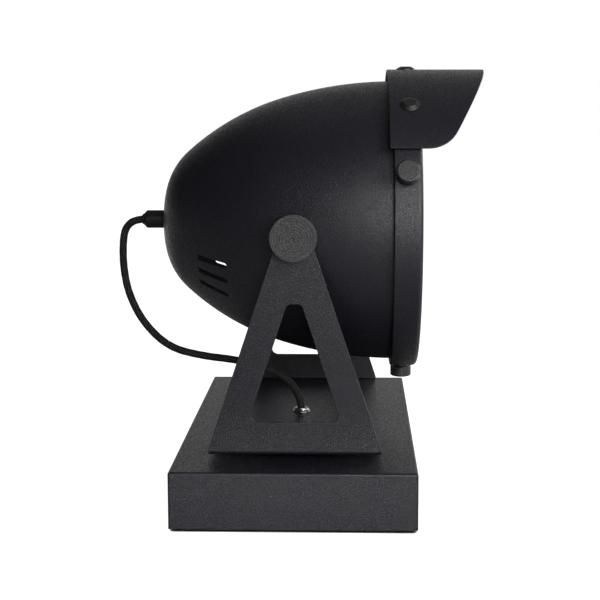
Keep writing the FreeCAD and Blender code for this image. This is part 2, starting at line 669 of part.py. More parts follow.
def make_clamp_knob(side):
    """Plain turned disc, drilled for its stud."""
    start = TILT_CENTRE + LEFT * side * knob_face_y()
    knob = cylinder(KNOB_RADIUS, start, start + LEFT * side * KNOB_THICKNESS)
    rims = [edge for edge in knob.Edges if edge.BoundBox.YLength < KNOB_EDGE_RADIUS]
    knob = knob.makeFillet(KNOB_EDGE_RADIUS, rims)
    return knob.cut(cylinder(STUD_RADIUS, start - LEFT * side * OVERCUT, start + LEFT * side * STUD_IN_KNOB))


def make_clamp_stud(side):
    """Stud from inside the knob, through the cheek, to the boss's inner end."""
    return cylinder(STUD_RADIUS, TILT_CENTRE + LEFT * side * (head_radius_at(0) - BOSS_NECK_DEPTH),
                    TILT_CENTRE + LEFT * side * (knob_face_y() + STUD_IN_KNOB))


# ---------------------------------------------------------------- front ring

def make_front_ring():
    """Channel-section ring over the shell's neck, with a rounded front edge."""
    back_inner = HEAD_RADIUS + RING_PLAY
    inner_round = max(RING_EDGE_RADIUS - RING_SHEET, 0)
    ring = beam_revolve([
        (RING_BACK_X, back_inner, 0),
        (RING_BACK_X, RING_RADIUS, RING_SHEET / 2),
        (RING_FRONT_X, RING_RADIUS, RING_EDGE_RADIUS),
        (RING_FRONT_X, LIP_RADIUS, RING_SHEET / 3),
        (RING_FRONT_X - RING_SHEET, LIP_RADIUS, 0),
        (RING_FRONT_X - RING_SHEET, RING_RADIUS - RING_SHEET, inner_round),
        (RING_BACK_X + RING_SHEET, RING_RADIUS - RING_SHEET, 0),
        (RING_BACK_X + RING_SHEET, back_inner, 0),
    ])
    holes = []
    for clock in THUMB_CLOCKS.values():
        hole = cylinder(THUMB_STUD_RADIUS + PIN_CLEARANCE, UP * HEAD_RADIUS, UP * (RING_RADIUS + OVERCUT))
        holes.append(radial(hole, THUMB_X, clock))
    for clock in VISOR_SCREW_ANGLES:
        hole = cylinder(VISOR_SCREW_RADIUS + PIN_CLEARANCE, UP * HEAD_RADIUS, UP * (RING_RADIUS + OVERCUT))
        holes.append(radial(hole, VISOR_SCREW_X, clock))
    return ring.cut(holes)


def make_thumbscrew(clock):
    """Plain round thumbscrew: stud, neck and a head with a rounded rim."""
    seat = RING_RADIUS + SEAT_GAP
    head_start = seat + THUMB_NECK_HEIGHT
    stud_end = flat_seat(HEAD_RADIUS - HEAD_SHEET, RING_NUT_FLATS / math.sqrt(3)) - RING_NUT_HEIGHT - OVERCUT
    head = cylinder(THUMB_RADIUS, UP * head_start, UP * THUMB_REACH)
    rim = [edge for edge in head.Edges if edge.BoundBox.ZMin > THUMB_REACH - OVERCUT / 2]
    head = head.makeFillet(THUMB_EDGE_RADIUS, rim)
    neck = cylinder(THUMB_NECK_RADIUS, UP * seat, UP * head_start)
    stud = cylinder(THUMB_STUD_RADIUS, UP * stud_end, UP * seat)
    return radial(head.fuse([neck, stud]).removeSplitter(), THUMB_X, clock)


def make_ring_nuts():
    """Nuts fixed inside the neck, one for each thumbscrew."""
    outer = flat_seat(HEAD_RADIUS - HEAD_SHEET, RING_NUT_FLATS / math.sqrt(3))
    nut = hex_nut(RING_NUT_FLATS, THUMB_STUD_RADIUS + PIN_CLEARANCE,
                  UP * (outer - RING_NUT_HEIGHT), UP * outer)
    return Part.makeCompound([radial(nut, THUMB_X, clock) for clock in THUMB_CLOCKS.values()])


# ---------------------------------------------------------------- visor

def beam_tube(outer, inner, start, end):
    """A round sleeve about the beam axis."""
    return tube(outer, inner, beam_point(start), beam_point(end))


def make_visor():
    """Part of a sleeve, with a raked front edge and rounded lower corners."""
    back, front = RING_BACK_X - VISOR_BACK_OVERHANG, RING_FRONT_X + VISOR_REACH
    low = TILT_Z + VISOR_HEIGHT_AT_SIDES
    high = TILT_Z + VISOR_RADIUS
    lean = math.tan(math.radians(VISOR_RAKE_ANGLE))
    above = high + OVERCUT
    outline = rounded_outline([
        (Vector(back, 0, low), 0),
        (Vector(front - (high - low) * lean, 0, low), VISOR_CORNER_RADIUS),
        (Vector(front + (above - high) * lean, 0, above), 0),
        (Vector(back, 0, above), 0),
    ])
    sleeve = beam_tube(VISOR_RADIUS, VISOR_INNER_RADIUS, back - OVERCUT, front + 2 * OVERCUT)
    visor = sleeve.common(prism_across(outline, VISOR_RADIUS + OVERCUT))
    hole = cylinder(VISOR_SCREW_RADIUS + PIN_CLEARANCE, UP * RING_RADIUS, UP * (VISOR_RADIUS + OVERCUT))
    return visor.cut([radial(hole, VISOR_SCREW_X, clock) for clock in VISOR_SCREW_ANGLES])


def make_visor_spacers():
    """Bushes that hold the visor off the ring."""
    bush = tube(VISOR_SPACER_RADIUS, VISOR_SCREW_RADIUS + PIN_CLEARANCE, UP * (RING_RADIUS - OVERCUT),
                UP * VISOR_RADIUS)
    reach = VISOR_SPACER_RADIUS + OVERCUT
    gap = beam_tube(VISOR_INNER_RADIUS, RING_RADIUS, VISOR_SCREW_X - reach, VISOR_SCREW_X + reach)
    return Part.makeCompound([radial(bush, VISOR_SCREW_X, clock).common(gap) for clock in VISOR_SCREW_ANGLES])


def make_visor_screws():
    """Broad dome-headed screws through visor, bush and ring."""
    seat = flat_seat(VISOR_RADIUS, VISOR_DOME_RADIUS)
    rise = VISOR_RADIUS + VISOR_DOME_HEIGHT - seat
    dome_radius = (VISOR_DOME_RADIUS ** 2 + rise ** 2) / (2 * rise)
    dome = Part.makeSphere(dome_radius, UP * (seat + rise - dome_radius))
    dome = dome.common(cylinder(VISOR_DOME_RADIUS + OVERCUT, UP * seat, UP * (seat + 2 * rise)))
    shank = cylinder(VISOR_SCREW_RADIUS, UP * visor_nut_low(), UP * (VISOR_RADIUS + VISOR_DOME_HEIGHT / 2))
    reach = VISOR_DOME_RADIUS + OVERCUT
    visor_round = cylinder(VISOR_RADIUS, beam_point(VISOR_SCREW_X - reach), beam_point(VISOR_SCREW_X + reach))
    screws = []
    for clock in VISOR_SCREW_ANGLES:
        head = radial(dome, VISOR_SCREW_X, clock).cut(visor_round)
        screws.append(head.fuse(radial(shank, VISOR_SCREW_X, clock)).removeSplitter())
    return Part.makeCompound(screws)


def visor_nut_high():
    """Outer face of a visor nut, seated inside the ring."""
    return flat_seat(RING_RADIUS - RING_SHEET, VISOR_NUT_FLATS / math.sqrt(3))


def visor_nut_low():
    """Inner face of a visor nut, level with its screw's end."""
    return visor_nut_high() - VISOR_NUT_HEIGHT


def make_visor_nuts():
    """Thin nuts between the ring and the shell's neck."""
    nut = hex_nut(VISOR_NUT_FLATS, VISOR_SCREW_RADIUS + PIN_CLEARANCE,
                  UP * visor_nut_low(), UP * visor_nut_high())
    return Part.makeCompound([radial(nut, VISOR_SCREW_X, clock) for clock in VISOR_SCREW_ANGLES])


# ---------------------------------------------------------------- cord gland, lampholder and bulb

def holder_start_x():
    """Rear face of the lampholder's cap, against its nut."""
    return REAR_X + HEAD_SHEET + HOLDER_NUT_HEIGHT


def holder_mouth_x():
    """Front face of the lampholder."""
    return holder_start_x() + HOLDER_CAP_LENGTH + HOLDER_BODY_LENGTH


def socket_floor_x():
    """Front face of the insulating disc at the bottom of the socket."""
    return holder_mouth_x() - SOCKET_LENGTH


def bulb_rim_x():
    """Where the bulb's cap ends and its glass begins."""
    return holder_mouth_x() + BULB_STANDOFF


def make_cord_gland():
    """Round strain relief on the rear face, with a short nose."""
    gland_end = REAR_X - GLAND_LENGTH
    nose_end = gland_end - GLAND_NOSE_LENGTH
    gland = beam_revolve([
        (REAR_X, GLAND_BORE_RADIUS, 0),
        (REAR_X, GLAND_RADIUS, 0),
        (gland_end, GLAND_RADIUS, GLAND_EDGE_RADIUS),
        (gland_end, GLAND_NOSE_RADIUS, 0),
        (nose_end, GLAND_NOSE_RADIUS, (GLAND_NOSE_RADIUS - GLAND_BORE_RADIUS) / 2),
        (nose_end, GLAND_BORE_RADIUS, 0),
    ])
    socket = cylinder(NIPPLE_RADIUS, beam_point(REAR_X - GLAND_SOCKET_DEPTH), beam_point(REAR_X + OVERCUT))
    return gland.cut(socket)


def make_holder_nipple():
    """Hollow threaded tube that joins gland, shell and lampholder."""
    return beam_tube(NIPPLE_RADIUS, NIPPLE_BORE_RADIUS, REAR_X - GLAND_SOCKET_DEPTH,
                     holder_start_x() + 2 * HOLDER_WALL)


def make_holder_nut():
    """Nut that clamps the shell between itself and the gland."""
    return hex_nut(PAN_NUT_FLATS, NIPPLE_RADIUS, beam_point(REAR_X + HEAD_SHEET),
                   beam_point(holder_start_x()))


def make_holder_cap():
    """Rear cup of the lampholder."""
    start, end = holder_start_x(), holder_start_x() + HOLDER_CAP_LENGTH
    return beam_revolve([
        (start, NIPPLE_RADIUS, 0),
        (start, HOLDER_RADIUS - HOLDER_WALL, HOLDER_WALL),
        (end, HOLDER_RADIUS - HOLDER_WALL / 2, 0),
        (end, HOLDER_RADIUS - 1.5 * HOLDER_WALL, 0),
        (start + HOLDER_WALL, HOLDER_RADIUS - 2 * HOLDER_WALL, 0),
        (start + HOLDER_WALL, NIPPLE_RADIUS, 0),
    ])


def make_holder_body():
    """Front sleeve of the lampholder, with a raised rim at its rear and mouth."""
    start, end = holder_start_x() + HOLDER_CAP_LENGTH, holder_mouth_x()
    rim = 2 * HOLDER_WALL
    return beam_revolve([
        (start, SOCKET_DISC_RADIUS, 0),
        (start, HOLDER_RADIUS, HOLDER_WALL / 4),
        (start + rim, HOLDER_RADIUS, HOLDER_WALL / 4),
        (start + rim, HOLDER_RADIUS - HOLDER_WALL / 2, 0),
        (end - rim, HOLDER_RADIUS - HOLDER_WALL / 2, 0),
        (end - rim, HOLDER_RADIUS, HOLDER_WALL / 4),
        (end, HOLDER_RADIUS, HOLDER_WALL / 4),
        (end, SOCKET_DISC_RADIUS, 0),
    ])


def make_socket_disc():
    """Insulating disc with the centre contact's seat."""
    end = socket_floor_x()
    return cylinder(SOCKET_DISC_RADIUS, beam_point(end - SOCKET_DISC_THICKNESS), beam_point(end))


def make_socket_sleeve():
    """Metal sleeve that the bulb screws into, flanged at its mouth out to the holder."""
    start, end = socket_floor_x(), holder_mouth_x()
    return beam_revolve([
        (start, SOCKET_RADIUS - SOCKET_SHEET, 0),
        (start, SOCKET_RADIUS, 0),
        (end - SOCKET_SHEET, SOCKET_RADIUS, 0),
        (end - SOCKET_SHEET, SOCKET_DISC_RADIUS, 0),
        (end, SOCKET_DISC_RADIUS, 0),
        (end, SOCKET_RADIUS - SOCKET_SHEET, 0),
    ])


def make_bulb_cap():
    """Screw cap with a tapered insulator and a contact tip."""
    floor, rim = socket_floor_x(), bulb_rim_x()
    shoulder = floor + BULB_TIP_LENGTH
    taper = shoulder + BULB_TIP_LENGTH
    return beam_revolve([
        (floor, 0, 0),
        (floor, BULB_TIP_RADIUS, BULB_TIP_LENGTH / 3),
        (shoulder, BULB_TIP_RADIUS, 0),
        (taper, BULB_CAP_RADIUS - BULB_TIP_LENGTH / 2, 0),
        (taper + BULB_TIP_LENGTH / 2, BULB_CAP_RADIUS, 0),
        (rim, BULB_CAP_RADIUS, 0),
        (rim, 0, 0),
    ])


def bulb_outline(inset):
    """Edges of the bulb's profile from its foot to its crown, that far inside the glass."""
    rim = bulb_rim_x()
    neck, ball_radius = BULB_NECK_RADIUS - inset, BULB_GLASS_RADIUS - inset
    centre = rim + BULB_GLASS_LENGTH - BULB_GLASS_RADIUS
    collar = rim + BULB_COLLAR_LENGTH
    run = centre - collar
    lean = math.acos(ball_radius / math.hypot(run, neck)) + math.atan2(neck, run)
    ball = arc_edge(beam_point(centre), ball_radius, 180 - math.degrees(lean), 0)
    touch = beam_point(centre) + Vector(-math.cos(lean), 0, math.sin(lean)) * ball_radius
    foot = Vector(collar, 0, TILT_Z + neck)
    base = Vector(rim + inset, 0, TILT_Z + neck)
    hole = Vector(rim + inset, 0, TILT_Z + BULB_STEM_RADIUS)
    return [Part.makeLine(hole, base), Part.makeLine(base, foot), Part.makeLine(foot, touch), ball]


def make_bulb_glass():
    """Thin pear-shaped bulb: a straight collar that opens into a ball, on a holed foot."""
    rim = bulb_rim_x()
    crown = rim + BULB_GLASS_LENGTH
    ends = [Part.makeLine(Vector(rim, 0, TILT_Z + BULB_STEM_RADIUS),
                          Vector(rim + BULB_WALL, 0, TILT_Z + BULB_STEM_RADIUS)),
            Part.makeLine(beam_point(crown), beam_point(crown - BULB_WALL))]
    wire = Part.Wire(Part.__sortEdges__(bulb_outline(0) + bulb_outline(BULB_WALL) + ends))
    return Part.Face(wire).revolve(TILT_CENTRE, FORWARD, 360)


# ---------------------------------------------------------------- wiring inside the base

def clamp_centre():
    """Middle of the cord clamp, in line with the mains entry."""
    return -MAINS_FROM_CENTRE, INNER_HALF_WIDTH - TAB_SIZE - CLAMP_FROM_TAB


def clamp_screw_places():
    """The clamp's two screws, either side of the lead."""
    x, y = clamp_centre()
    return [(x - CLAMP_SCREW_SPACING / 2, y), (x + CLAMP_SCREW_SPACING / 2, y)]


def block_centre():
    """Middle of the terminal block."""
    return -BLOCK_BEHIND_AXIS, clamp_centre()[1] - BLOCK_FROM_CLAMP


def earth_place():
    """The earth screw, on the other side of the pan axis from the terminal block."""
    return EARTH_AHEAD_OF_AXIS, INNER_HALF_WIDTH - EARTH_FROM_WALL


def make_mains_bushing():
    """Rubber bushing that lines the lead's hole in the left wall."""
    outside = Vector(-MAINS_FROM_CENTRE, BASE_WIDTH / 2, MAINS_HEIGHT)
    inside = outside - LEFT * BASE_SHEET
    flange_end = outside + LEFT * BUSHING_FLANGE_THICKNESS
    tail_end = inside - LEFT * BUSHING_TAIL_LENGTH
    flange = cylinder(BUSHING_FLANGE_RADIUS, outside, flange_end)
    sleeve = cylinder(BUSHING_RADIUS, inside, outside)
    tail = cylinder(BUSHING_FLANGE_RADIUS, tail_end, inside)
    bore = cylinder(MAINS_BORE_RADIUS, tail_end - LEFT * OVERCUT, flange_end + LEFT * OVERCUT)
    return flange.fuse([sleeve, tail]).removeSplitter().cut(bore)


def make_cord_clamp():
    """Bar with a groove for the lead, screwed to the bottom plate."""
    x, y = clamp_centre()
    bar = box(Vector(x - CLAMP_LENGTH / 2, y - CLAMP_WIDTH / 2, BOTTOM_TOP_Z),
              Vector(x + CLAMP_LENGTH / 2, y + CLAMP_WIDTH / 2, BOTTOM_TOP_Z + CLAMP_HEIGHT))
    uprights = [edge for edge in bar.Edges if edge.BoundBox.ZLength > CLAMP_HEIGHT / 2]
    bar = bar.makeFillet(CLAMP_WIDTH / 4, uprights)
    groove = Vector(x, y, BOTTOM_TOP_Z)
    reach = LEFT * (CLAMP_WIDTH / 2 + OVERCUT)
    cutters = [cylinder(CLAMP_GROOVE_RADIUS, groove - reach, groove + reach)]
    for screw_x, screw_y in clamp_screw_places():
        cutters.append(cylinder(SMALL_SCREW_RADIUS + SCREW_CLEARANCE, Vector(screw_x, screw_y, 0),
                                Vector(screw_x, screw_y, BASE_HEIGHT)))
    return bar.cut(cutters)


def make_clamp_screws():
    """Two screws through the cord clamp into the bottom plate."""
    under_head = BOTTOM_TOP_Z + CLAMP_HEIGHT
    return Part.makeCompound([small_screw(x, y, under_head, CLAMP_HEIGHT + BOTTOM_SHEET)
                              for x, y in clamp_screw_places()])


def make_terminal_block():
    """Insulating block with a screw well and a wire hole at both ends of each pole."""
    x, y = block_centre()
    top = BOTTOM_TOP_Z + BLOCK_HEIGHT
    block = box(Vector(x - BLOCK_LENGTH / 2, y - BLOCK_WIDTH / 2, BOTTOM_TOP_Z),
                Vector(x + BLOCK_LENGTH / 2, y + BLOCK_WIDTH / 2, top))
    cutters = [cylinder(SMALL_SCREW_RADIUS + SCREW_CLEARANCE, Vector(x, y, 0), Vector(x, y, top + OVERCUT)),
               cylinder(SMALL_HEAD_RADIUS + SCREW_CLEARANCE, Vector(x, y, top - SMALL_HEAD_HEIGHT),
                        Vector(x, y, top + OVERCUT))]
    reach = BLOCK_WIDTH / 2 + OVERCUT
    for index in range(BLOCK_POLES):
        pole_x = x + (index - (BLOCK_POLES - 1) / 2) * BLOCK_POLE_PITCH
        wire_z = BOTTOM_TOP_Z + BLOCK_WIRE_HEIGHT
        for side in (-1, 1):
            well_y = y + side * (BLOCK_WIDTH / 2 - 2 * BLOCK_WELL_RADIUS)
            cutters.append(cylinder(BLOCK_WELL_RADIUS, Vector(pole_x, well_y, top - BLOCK_WELL_DEPTH),
                                    Vector(pole_x, well_y, top + OVERCUT)))
            cutters.append(cylinder(BLOCK_WIRE_RADIUS, Vector(pole_x, well_y, wire_z),
                                    Vector(pole_x, y + side * reach, wire_z)))
    return block.cut(cutters)


def make_terminal_screw():
    """Screw that holds the terminal block down, its head sunk in the block."""
    x, y = block_centre()
    under_head = BOTTOM_TOP_Z + BLOCK_HEIGHT - SMALL_HEAD_HEIGHT
    return small_screw(x, y, under_head, BLOCK_HEIGHT - SMALL_HEAD_HEIGHT + BOTTOM_SHEET)


def make_earth_nut():
    """Nut fixed on the bottom plate for the earth wire."""
    x, y = earth_place()
    return hex_nut(EARTH_NUT_FLATS, SMALL_SCREW_RADIUS + PIN_CLEARANCE, Vector(x, y, BOTTOM_TOP_Z),
                   Vector(x, y, BOTTOM_TOP_Z + EARTH_NUT_HEIGHT))


def make_earth_screw():
    """Screw that clamps the earth wire on its nut."""
    x, y = earth_place()
    return small_screw(x, y, BOTTOM_TOP_Z + EARTH_NUT_HEIGHT, EARTH_NUT_HEIGHT + BOTTOM_SHEET)


# ---------------------------------------------------------------- head cord

def cord_path():
    """Straight runs joined by tangent arcs, each arc as large as its two runs allow."""
    points = [Vector(x, 0, z) for x, z in CORD_ROUTE]
    edges = []
    radii = []
    last = points[0]
    for before, corner, after in zip(points, points[1:], points[2:]):
        back, ahead = before - corner, after - corner
        reach = CORD_ARC_SHARE * min(back.Length, ahead.Length)
        half_turn = (math.pi - back.getAngle(ahead)) / 2
        radius = reach / math.tan(half_turn)
        back.normalize()
        ahead.normalize()
        start, end = corner + back * reach, corner + ahead * reach
        middle = corner + (back + ahead).normalize() * (radius / math.cos(half_turn) - radius)
        edges += [Part.LineSegment(last, start).toShape(), Part.Arc(start, middle, end).toShape()]
        radii.append(radius)
        last = end
    edges.append(Part.LineSegment(last, points[-1]).toShape())
    print("cord arc radii:", ", ".join(f"{radius:.1f}" for radius in radii))
    return Part.Wire(edges)


def make_head_cord():
    """Round cord swept along its path."""
    path = cord_path()
    start = path.Edges[0].Vertexes[0].Point
    section = Part.Wire(Part.makeCircle(CORD_RADIUS, start, FORWARD))
    cord = path.makePipeShell([section], True, False)
    expected = math.pi * CORD_RADIUS ** 2 * path.Length
    print(f"cord length {path.Length:.1f}, volume {cord.Volume:.0f}, section times length {expected:.0f}")
    return cord


# ---------------------------------------------------------------- all the parts

def make_parts():
    """Every node's shape, by its name."""
    parts = {
        "base_box": make_base_box(),
        "bottom_plate": make_bottom_plate(),
        "bottom_screws": make_bottom_screws(),
        "foot_mat": make_foot_mat(),
        "pan_spacer": make_pan_spacer(),
        "pan_nipple": make_pan_nipple(),
        "pan_washer": make_pan_washer(),
        "pan_top_nut": make_pan_top_nut(),
        "pan_spring_washer": make_pan_spring_washer(),
        "pan_lock_nut": make_pan_lock_nut(),
        "mains_bushing": make_mains_bushing(),
        "cord_clamp": make_cord_clamp(),
        "clamp_screws": make_clamp_screws(),
        "terminal_block": make_terminal_block(),
        "terminal_screw": make_terminal_screw(),
        "earth_nut": make_earth_nut(),
        "earth_screw": make_earth_screw(),
        "yoke": make_yoke(),
        "knob_washers": make_knob_washers(),
        "head_cord": make_head_cord(),
        "head_shell": make_head_shell(),
        "friction_washers": make_friction_washers(),
        "front_ring": make_front_ring(),
        "ring_nuts": make_ring_nuts(),
        "visor": make_visor(),
        "visor_spacers": make_visor_spacers(),
        "visor_screws": make_visor_screws(),
        "visor_nuts": make_visor_nuts(),
        "cord_gland": make_cord_gland(),
        "holder_nipple": make_holder_nipple(),
        "holder_nut": make_holder_nut(),
        "holder_cap": make_holder_cap(),
        "holder_body": make_holder_body(),
        "socket_disc": make_socket_disc(),
        "socket_sleeve": make_socket_sleeve(),
        "bulb_cap": make_bulb_cap(),
        "bulb_glass": make_bulb_glass(),
    }
    for name, side in (("left", 1), ("right", -1)):
        parts["pivot_boss_" + name] = make_pivot_boss(side)
        parts["clamp_knob_" + name] = make_clamp_knob(side)
        parts["clamp_stud_" + name] = make_clamp_stud(side)
    for name, clock in THUMB_CLOCKS.items():
        parts["thumbscrew_" + name] = make_thumbscrew(clock)
    return parts


os.makedirs("parts", exist_ok=True)
for node, shape in make_parts().items():
    if not shape.isValid() or shape.Volume <= 0:
        raise ValueError(f"{node} is not a sound solid")
    shape.exportStep(f"parts/{node}.step")
    print(f"{node}: {len(shape.Solids)} solids, {shape.Volume / 1000:.2f} cm3")
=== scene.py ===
"""Looks of the tabletop searchlight lamp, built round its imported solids.

+X is the way the beam points, +Z is up, the lamp's left side is +Y, and the origin lies on
the pan axis, level with the underside of the foot mat. Sizes are in millimetres, and a mesh
is scaled to metres as it becomes a piece.
"""
import json
import logging
import math
from dataclasses import dataclass
from enum import Enum

import bmesh
import bpy
from mathutils import Matrix, Vector

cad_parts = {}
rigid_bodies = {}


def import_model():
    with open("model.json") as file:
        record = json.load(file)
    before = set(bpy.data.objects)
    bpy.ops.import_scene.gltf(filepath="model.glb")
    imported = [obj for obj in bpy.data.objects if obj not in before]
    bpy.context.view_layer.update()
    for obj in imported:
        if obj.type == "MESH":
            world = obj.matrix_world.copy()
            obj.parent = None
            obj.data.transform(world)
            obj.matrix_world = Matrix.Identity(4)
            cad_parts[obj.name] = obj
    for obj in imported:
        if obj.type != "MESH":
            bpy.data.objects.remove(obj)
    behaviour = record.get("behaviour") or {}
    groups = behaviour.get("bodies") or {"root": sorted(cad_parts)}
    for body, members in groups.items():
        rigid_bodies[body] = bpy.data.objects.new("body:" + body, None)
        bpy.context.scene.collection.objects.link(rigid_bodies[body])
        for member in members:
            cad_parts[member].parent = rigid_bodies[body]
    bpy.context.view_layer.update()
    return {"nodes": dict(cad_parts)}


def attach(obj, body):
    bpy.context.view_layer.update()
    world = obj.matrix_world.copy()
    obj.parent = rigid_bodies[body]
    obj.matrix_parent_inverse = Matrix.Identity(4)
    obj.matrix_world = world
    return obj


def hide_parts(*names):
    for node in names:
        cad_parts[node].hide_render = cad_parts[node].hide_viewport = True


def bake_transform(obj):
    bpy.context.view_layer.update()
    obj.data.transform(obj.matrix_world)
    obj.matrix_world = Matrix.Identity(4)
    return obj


log = logging.getLogger("searchlight")

METRES = 0.001          # one millimetre
TOUCHING = 0.002        # points nearer than this are one point
TILT_Z = 211.043        # height of the tilt axis and, at rest, of the beam axis
REAR_X = -109.9         # the head's rear face
CHEEK_Y = 112.086       # the left cheek's outer face
STUD_HOLE = 4.05        # radius that lets the knobs' studs through
NIPPLE_HOLE = 5.05      # radius that lets a hollow nipple through
WAVE_PITCH = 0.314      # metres between the rings of a wave texture at a scale of 1
WHITE = (1, 1, 1, 1)

Pair = tuple[float, float]
Colour = Triple = tuple[float, float, float]
Mesh = bmesh.types.BMesh
Socket = bpy.types.NodeSocket


class Body(Enum):
    """The rigid bodies that pieces ride on."""

    BASE = "base"
    YOKE = "yoke"
    HEAD = "head"
    KNOB_LEFT = "knob_left"
    KNOB_RIGHT = "knob_right"
    THUMB_BOTTOM = "thumb_bottom"
    THUMB_LEFT = "thumb_left"
    THUMB_RIGHT = "thumb_right"


class Slot(Enum):
    """The record's material slots."""

    POWDER = "powder_black"
    KNOB = "knob_black"
    SCREW = "screw_black"
    TURNED = "turned_black"
    NICKEL = "nickel"
    ZINC = "zinc_steel"
    BRASS = "brass"
    ALUMINIUM = "aluminium"
    RUBBER = "rubber_black"
    PLASTIC_BLACK = "plastic_black"
    PLASTIC_WHITE = "plastic_white"
    CERAMIC = "ceramic"
    FIBRE = "fibre"
    OPAL = "opal_glass"
    TEXTILE = "cord_textile"


# ---- places

def put(x: float, y: float, z: float, turn: float = 0.0, axis: str = "X") -> Matrix:
    """A place at a point, turned by degrees about an axis."""
    return Matrix.Translation((x, y, z)) @ Matrix.Rotation(math.radians(turn), 4, axis)


def on_beam(along: float, turn: float = 90.0) -> Matrix:
    """A place on the beam axis whose own Z axis points the way the beam does, or turned from upright."""
    return put(along, 0, TILT_Z, turn, "Y")


def out_of_beam(along: float, clock: float) -> Matrix:
    """A place on the beam axis whose own Z axis leans from the top to the left by degrees."""
    return put(along, 0, TILT_Z, -clock)


def on_tilt_axis(side: int, out: float) -> Matrix:
    """A place on the tilt axis whose own Z axis points away from the lamp's middle."""
    return put(0, side * out, TILT_Z, -90 * side)


# ---- mesh work

def shown(name: str, data: bpy.types.ID) -> bpy.types.Object:
    """Make an object of its data and put it into the scene."""
    item = bpy.data.objects.new(name, data)
    bpy.context.scene.collection.objects.link(item)
    return item


def finished(name: str, mesh: Mesh) -> bpy.types.Object:
    """Make an object of a mesh that is used up, and put it into the scene."""
    data = bpy.data.meshes.new(name)
    mesh.to_mesh(data)
    mesh.free()
    return shown(name, data)


class Outline:
    """A chain of edges drawn in the XZ plane, from which a mesh is filled or spun."""

    def __init__(self, x: float, z: float) -> None:
        """Start the chain at a point."""
        self.mesh = bmesh.new()
        self.chain = [self.mesh.verts.new((x, 0, z))]
        self.roundings: list[tuple[bmesh.types.BMVert, float]] = []

    def to(self, x: float, z: float, rounding: float = 0.0) -> "Outline":
        """Draw a straight run to a corner, which is rounded when the outline is filled."""
        corner = self.mesh.verts.new((x, 0, z))
        self.mesh.edges.new((self.chain[-1], corner))
        self.chain.append(corner)
        if rounding > 0:
            self.roundings.append((corner, rounding))
        return self

    def around(self, x: float, z: float, turn: float, steps: int) -> "Outline":
        """Draw an arc of so many edges about a centre; turn is in degrees from +Z towards +X."""
        known = set(self.mesh.verts)
        bmesh.ops.spin(self.mesh, geom=[self.chain[-1]], cent=(x, 0, z), axis=(0, 1, 0),
                       angle=math.radians(turn), steps=steps)
        new = [vert for vert in self.mesh.verts if vert not in known]
        end = self.chain[-1]
        while new:
            end = next(edge.other_vert(end) for edge in end.link_edges if edge.other_vert(end) in new)
            new.remove(end)
            self.chain.append(end)
        return self

    def fill(self, segments: int) -> Mesh:
        """Close the chain with a face and round its corners, each with so many edges."""
        self.mesh.faces.new(self.chain)
        for corner, radius in self.roundings:
            back, ahead = (edge.other_vert(corner).co - corner.co for edge in corner.link_edges)
            bevel(self.mesh, [corner], radius / math.tan(back.angle(ahead) / 2), segments, "VERTICES")
        return self.mesh

    def spin(self, steps: int, closed: bool = True, segments: int = 4) -> Mesh:
        """Turn the outline about the Z axis, as a closed section or as an open wall."""
        mesh = self.mesh
        if closed:
            self.fill(segments)
            bmesh.ops.delete(mesh, geom=mesh.faces[:], context="FACES_ONLY")
            core = [edge for edge in mesh.edges if all(abs(vert.co.x) < TOUCHING for vert in edge.verts)]
            bmesh.ops.delete(mesh, geom=core, context="EDGES")
        bmesh.ops.spin(mesh, geom=mesh.verts[:] + mesh.edges[:], cent=(0, 0, 0), axis=(0, 0, 1),
                       angle=math.tau, steps=steps, use_merge=True)
        bmesh.ops.remove_doubles(mesh, verts=mesh.verts[:], dist=TOUCHING)
        bmesh.ops.recalc_face_normals(mesh, faces=mesh.faces[:])
        return mesh


def moved(mesh: Mesh, place: Matrix) -> Mesh:
    """Carry a mesh from its own frame to its place in the lamp."""
    bmesh.ops.transform(mesh, matrix=place, verts=mesh.verts[:])
    return mesh


def bevel(mesh: Mesh, geom: list, offset: float, segments: int, affect: str = "EDGES") -> None:
    """Round edges or corners of a mesh."""
    bmesh.ops.bevel(mesh, geom=geom, offset=offset, offset_type="OFFSET", affect=affect,
                    segments=segments, profile=0.5, material=-1)


def face_away(mesh: Mesh, inside: Vector) -> None:
    """Make a sheet's faces point away from a point that it goes round."""
    bmesh.ops.recalc_face_normals(mesh, faces=mesh.faces[:])
    away = sum(face.normal.dot(face.calc_center_median() - inside) * face.calc_area() for face in mesh.faces)
    if away < 0:
        bmesh.ops.reverse_faces(mesh, faces=mesh.faces[:])


def thicken(mesh: Mesh, sheet: float) -> None:
    """Give a sheet its wall, behind the faces that it has."""
    bmesh.ops.solidify(mesh, geom=mesh.faces[:], thickness=sheet)


def ease_edges(mesh: Mesh, width: float, over: float = 50.0) -> None:
    """Take the sharpness off every edge that turns over so many degrees."""
    limit = math.radians(over)
    sharp = [edge for edge in mesh.edges if edge.calc_face_angle(0.0) > limit]
    bevel(mesh, sharp, width, segments=2)


